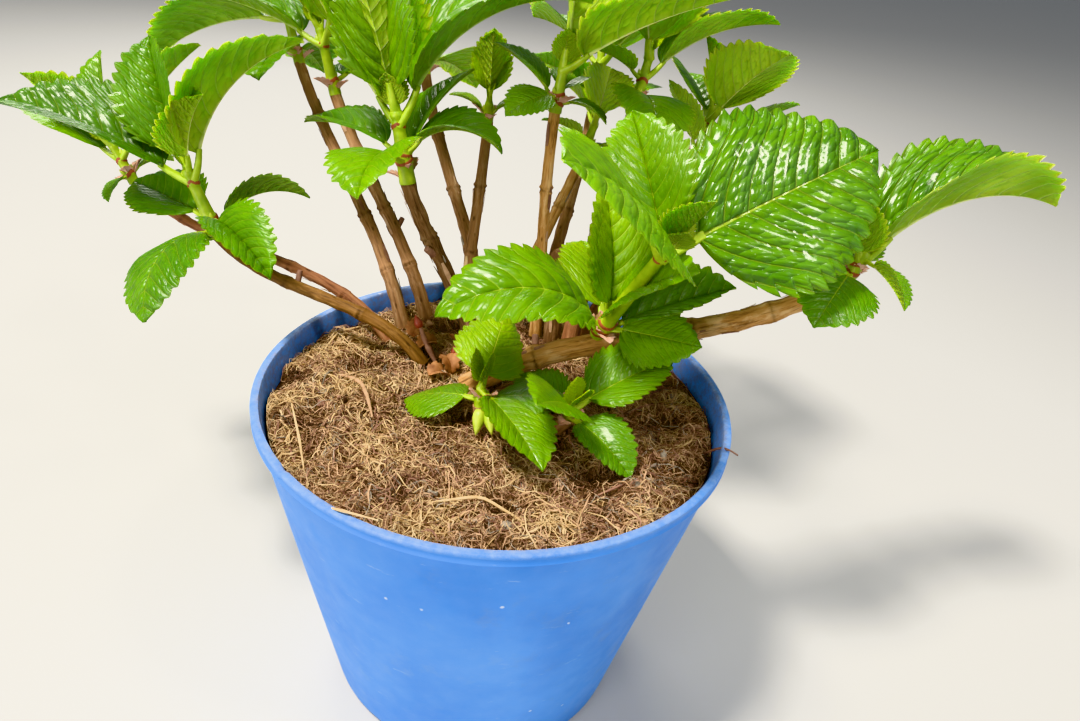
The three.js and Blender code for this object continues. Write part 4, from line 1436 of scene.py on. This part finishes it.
def grow_leaf(batch, leaf, seed, top, under, teeth=None, quilt=1.0):
    """Adds one blade to a batch."""
    random = np.random.default_rng(seed)
    long = leaf["long"]
    if teeth is None:
        teeth = teeth_of(long)
    tooth_rows, tooth_push = LARGE_TEETH if long >= LARGE_LEAF else SMALL_TEETH
    if FIRST_TOP <= top < FIRST_UNDER and long < LARGE_LEAF:
        top += len(TOPS)
    columns = 28 if long > 45 else 18
    rows = (np.arange(teeth)[:, None] + tooth_rows).ravel()
    u = (np.append(rows, teeth) / teeth)[:, None]
    push = np.append(np.tile(tooth_push, teeth), 0)[:, None]
    x = np.linspace(1, -1, columns + 1)[None]
    v = np.sign(x) * np.abs(x) ** 1.2
    points, face, onward = blade(leaf, u, v)
    # panels puffed up between the veins
    off = np.abs(v) * outline(u) * half_width(leaf)
    phase = (u - BOW * off - BEND * off**2) * VEINS
    edge = np.clip((np.abs(v) - RIM_FROM) / RIM_WIDE, 0, 1)
    puff = np.abs(np.sin(math.pi * phase)) ** 0.7 * np.clip(off / 0.02, 0, 1) * (1 - 0.6 * edge)
    sway = waves(np.stack(np.broadcast_arrays(3 * u, 1.6 * v), -1), 1.7, seed) * np.abs(v)
    lift = long * (PUFF * quilt * puff + SWAY * sway)
    # teeth
    pitch = long / teeth * TOOTH_LONG
    size = np.clip(u / 0.14, 0, 1) * np.clip((1 - u) / 0.1, 0.3, 1) * np.clip(outline(u) * 2, 0, 1)
    uneven = np.append(np.repeat(random.uniform(0.75, 1.2, teeth), len(tooth_rows)), 1)
    size = size * uneven[:, None]
    outward = unit(points - points[:, columns // 2 : columns // 2 + 1])
    points = points + outward * (TOOTH_OUT * pitch * push * size * edge)[..., None]
    points = points + onward * (TOOTH_ON * pitch * push * size * edge)[..., None]
    # top and underside, with the midrib standing out below
    half = HALF_THICK * (1 - v**4) + 0 * u
    rib = (0.3 + 0.008 * long) * (1 - u) ** 0.8 * hump(v, 0, RIB_WIDE)
    above = points + face * (lift + half)[..., None]
    below = points + face * (lift - half - rib)[..., None]
    both = lambda a, b: np.concatenate([a, b[:, -2:0:-1]], 1)
    signed = off * np.sign(v)
    uvs = np.stack([phase, signed], -1)
    slots = np.array([top] * columns + [under] * columns)
    batch.tube(both(above, below), both(uvs, uvs), slots, split=columns)


print("a leaf of 100 mm has", teeth_of(100), "teeth a side")

# %% [markdown]
# ### Petioles and buds
# A leaf stands on a stalk, its petiole, which clasps the stem and has a groove along its top. A bud sits
# in the corner between them. Both are tubes through rings that change in size and shape on the way.

# %% Grow one petiole
PETIOLE_POINTS, PETIOLE_SIDES = 10, 12


def grow_petiole(batch, leaf, slot):
    """Adds the stalk of a leaf: grooved above, wider where it clasps the stem."""
    share = np.linspace(0, 1, PETIOLE_POINTS)[:, None]
    angle = around_ring(PETIOLE_SIDES)[None]
    reach = np.linalg.norm(leaf["base"] - leaf["root"])
    sag = 0.05 * reach * np.sin(math.pi * share)
    path = leaf["root"] + leaf["along"] * (reach + 0.03 * leaf["long"]) * share - leaf["normal"] * sag
    radius = (1.0 + 0.016 * leaf["long"]) * (1.5 - 0.65 * share**0.5)
    groove = 0.5 * hump(np.cos(angle), 0, 0.42) * (np.sin(angle) > 0)
    wide = radius * np.cos(angle)
    high = radius * (0.8 * np.sin(angle) - groove)
    rings = path[:, None] + leaf["side"] * wide[..., None] + leaf["normal"] * high[..., None]
    batch.tube(rings, (0, 0), slot)


def grow_bud(batch, place, way, long, thick, slot):
    """Adds a pointed bud."""
    share = np.array([0, 0.15, 0.35, 0.6, 0.82, 1.0])
    radius = thick * np.array([0.7, 0.95, 1.0, 0.75, 0.4, 0.06])
    batch.tube(rings_round(place + way * (share * long)[:, None], radius, 9), (0, 0), slot)


print("petioles and buds ready")

# %% [markdown]
# ### Shoots
# A green shoot is this year's growth: a soft stem with a red-brown line at each older node, and pairs of
# leaves, each pair a quarter turn on from the one below. Particles could scatter leaves on a stem, but the
# eye knows that order, so each leaf is grown where the plan says. Its finish depends on its shoot, its
# age and a little on chance.
# The left shoot is darker than the others, as painted shade.

# %% How light the leaves are
# from 0 (deep green) to 4 (young yellow-green), for each shoot. The left shoot is set darker as painted
# shade.
LIGHTNESS = dict(left=1.4, left_back=2.0, mid_left=1.4, mid_back=1.6, tall_left=1.5, young=2.8)
LIGHTNESS |= dict(tall_back=2.2, mid_right=2.6, right_back=2.2, right_end=2.0, near=2.0, front=2.1)
LIGHTNESS |= dict(front_right=1.5, back_left=1.8, back_right=1.7, back_mid=2.0)
# how much lighter the youngest pair is than the oldest, and how far chance goes either way
BY_AGE, BY_CHANCE = 0.5, 0.5
# leaves with a tint of their own, by shoot and number. The left shoot's leaf 5 is deep green as painted
# shade.
OWN_TINTS = {("near", 0): GREEN, ("near", 3): FRESH, ("near", 5): FRESH, ("near", 6): GLOSSY}
OWN_TINTS |= {("right_end", 2): GLOSSY, ("left", 5): DEEP, ("left", 6): MID}
# deep green leaves take the blue-green underside, whose blue is a painted sky reflection
UNDER_OF = {DEEP: SKY_BLUE_UNDER, MID: MID_UNDER}


def finish_of(name, i, age, random):
    """The finish of a leaf above and below. Age is 0 for the oldest pair of its shoot and 1 at the tip."""
    light = LIGHTNESS[name] + BY_AGE * (age - 0.5) + random.uniform(-BY_CHANCE, BY_CHANCE)
    tint = OWN_TINTS.get((name, i), int(np.clip(round(light), DEEP, YOUNG)))
    return FIRST_TOP + tint, UNDER_OF.get(tint, PALE_UNDER)


print("leaves with a tint of their own:", len(OWN_TINTS))

# %% Grow the stem of a shoot
STEM_TAPER = 0.62
PAST_LEAVES = 2  # how far the stem goes on past its last pair
NODE_BULGE, BULGE_WIDE = 0.2, 1.7


def grow_stem(stems, shoot):
    """Adds a stem, swollen at its nodes, with a red-brown line round each older one."""
    axis, start, thick, steps = shoot["axis"], shoot["start"], shoot["thick"], shoot["steps"]
    end = steps[-1] + PAST_LEAVES
    run = np.append(np.linspace(-1.2, end, 26 + int(end)), [end + 0.7, end + 1.1])
    radius = thick * (1 + (STEM_TAPER - 1) * np.clip(run / end, 0, 1))
    for step in steps:
        radius = radius * (1 + NODE_BULGE * hump(run, step, BULGE_WIDE))
    radius[-2:] *= (0.7, 0.2)
    stems.tube(rings_round(start + axis * run[:, None], radius, 18), (0, 0), GREEN_STEM)
    # the line is drawn up where the two petioles meet
    for pair, step in enumerate(steps[:-1] if len(steps) > 2 else ()):
        near = start + axis * (step + np.array([-1.1, -0.6, 0.0, 0.6, 1.1])[:, None])
        size = np.interp(step, [0, end], [thick, thick * STEM_TAPER]) * (1 + NODE_BULGE)
        ring = rings_round(near, size * np.array([0.97, 1.01, 1.02, 1.01, 0.97]), 24)
        leaf = shoot["leaves"][min(2 * pair, len(shoot["leaves"]) - 1)]
        outward = unit(leaf["along"] - axis * np.dot(leaf["along"], axis))
        facing = np.abs(unit(ring - near[:, None]) @ outward)
        stems.tube(ring + axis * (1.6 * (1 - facing) - 0.6)[..., None], (0, 0), NODE)


print("a stem tapers to", STEM_TAPER, "of its thickness")

# %% Grow both ends of a shoot
def grow_tip(leaves, shoot, seed):
    """Adds two small leaves that are still folded together at the tip."""
    for hand in (0, 1):
        heading = shoot["turn"] + 90 * len(shoot["steps"]) + 180 * hand
        long = min(0.34 * shoot["long"][-1], 17)
        lay = dict(heading=heading, open=12, long=long, fold=8, droop=4, roll=0)
        step = shoot["steps"][-1] + PAST_LEAVES - 1
        leaf = leaf_of(dict(shoot, thick=0.3 * shoot["thick"]), step, lay)
        grow_leaf(leaves, leaf, seed + hand, FIRST_TOP + YOUNG, PALE_UNDER, teeth=9, quilt=0.8)


def grow_scales(stems, shoot, seed, count):
    """Adds the papery scales of the bud that the shoot grew from."""
    for j in range(count):
        heading = shoot["turn"] + 45 + 360 * j / count
        lay = dict(heading=heading, open=22 + 14 * (j % 3), long=8 + 2.5 * (j % 2))
        lay |= dict(fold=34, droop=30, roll=0)
        leaf = leaf_of(dict(shoot, thick=shoot["thick"] * 0.9), -0.8, lay)
        grow_leaf(stems, leaf, seed, SCALE, SCALE, teeth=4, quilt=0.2)


print("tips and scales ready")

# %% Grow one shoot
SEEDS_EACH = 20  # the seeds that each shoot has of its own
SMOOTH = ("front", "front_right")  # shoots with smoother leaves


def grow_shoot(leaves, stems, name, seed):
    """Adds a shoot: its stem with nodes, its leaves on their petioles, and its buds."""
    shoot = SHOOTS[name]
    random = np.random.default_rng(seed)
    axis, pairs = shoot["axis"], len(shoot["steps"]) - 1
    first = seed * SEEDS_EACH
    grow_stem(stems, shoot)
    for i, leaf in enumerate(shoot["leaves"]):
        quilt = 0.35 if name in SMOOTH else 1.0
        grow_leaf(leaves, leaf, first + i, *finish_of(name, i, leaf["pair"] / pairs, random), quilt=quilt)
        grow_petiole(stems, leaf, PETIOLE)
        if leaf["pair"] < pairs:
            way = unit(axis + 0.7 * leaf["along"])
            corner = leaf["root"] + leaf["along"] * shoot["thick"] * 0.8 + axis
            grow_bud(stems, corner, way, 3.6, 1.2, BUD)
    grow_tip(leaves, shoot, first + 15)
    grow_scales(stems, shoot, first + 17, 6 if name == "near" else 3)


print("a shoot grows from its stem, its leaves and both ends")

# %% Dry leaves and buds at the crown
# dry curled leaves that lie among the canes: place, heading and climb, length, droop
DRY = [
    ((-36, 14, 167), (30, 40), 15, 150),
    ((-36, 40, 171), (200, 35), 15, 140),
    ((-50, 44, 171), (80, 60), 12, 60),
    ((-30, 30, 170), (300, 30), 13, 120),
    ((-24, 42, 172), (120, 50), 11, 140),
    ((4, 40, 167), (150, 25), 16, 130),
]
# single buds: place, heading and climb, length, thickness, finish. The last two hang from the front shoot.
BUDS = [
    ((-45, 36, 182), (150, 62), 7, 2.3, RED_BUD),
    ((-26, 30, 172), (60, 50), 6, 1.8, RED_BUD),
    ((-5, -25, 177), (265, -48), 12, 3.2, BUD),
    ((-1, -26, 176), (290, -38), 10, 2.8, BUD),
]


def grow_dry_leaf(batch, seed, place, way, long, droop):
    """Adds one dry curled leaf."""
    along = direction(*way)
    side = unit(np.cross(UP, along))
    leaf = dict(base=np.array(place, float), along=along, normal=np.cross(along, side), side=side)
    leaf |= dict(long=long, fold=40, droop=droop)
    grow_leaf(batch, leaf, seed, DRY_LEAF, DRY_LEAF, teeth=5, quilt=0.8)


print("dry leaves:", len(DRY), "single buds:", len(BUDS))

# %% Grow every shoot
# Four groups, so that each piece stays under 200,000 triangles.
GROUPS = {
    "left": ("left", "left_back", "mid_left", "mid_back"),
    "middle": ("tall_left", "young", "tall_back", "back_left"),
    "back": ("mid_right", "right_back", "back_right", "back_mid"),
    "right": ("right_end", "near", "front", "front_right"),
}
leaf_pieces, stem_pieces = {}, {}
for group, names in GROUPS.items():
    leaves, stems = Batch(), Batch()
    for name in names:
        grow_shoot(leaves, stems, name, 100 + list(SHOOTS).index(name))
    if group == "left":
        for i, dry in enumerate(DRY):
            grow_dry_leaf(stems, 60 + i, *dry)
        for place, way, long, thick, slot in BUDS:
            grow_bud(stems, np.array(place, float), direction(*way), long, thick, slot)
    leaf_pieces[group] = leaves.make("leaves_" + group, plant_paints, 80)
    stem_pieces[group] = stems.make("stems_" + group, plant_paints, 70)

# %% [markdown]
# ## Fix every piece to the model
# Nothing on this plant moves, so every piece rides on the one body, and each stands in for the plain
# solids of the same thing.

# %% Fix the pieces
def fix(piece, slot, *nodes):
    """Fixes a piece to the body and hides the solids that it stands for. The slot is not used."""
    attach(piece, "root")
    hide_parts(*nodes)


fix(pot, "pot", "pot")
for piece in (compost, *fine_pieces, coarse_fibres):
    fix(piece, "compost", "compost")
for name, piece in cane_pieces.items():
    fix(piece, "bark", "cane_" + name)
fix(bark_bits, "bark", *["cane_" + name for name in CANES])
for group, names in GROUPS.items():
    for piece in (leaf_pieces[group], stem_pieces[group]):
        fix(piece, "leaf", *["shoot_" + name for name in names])
deselect()
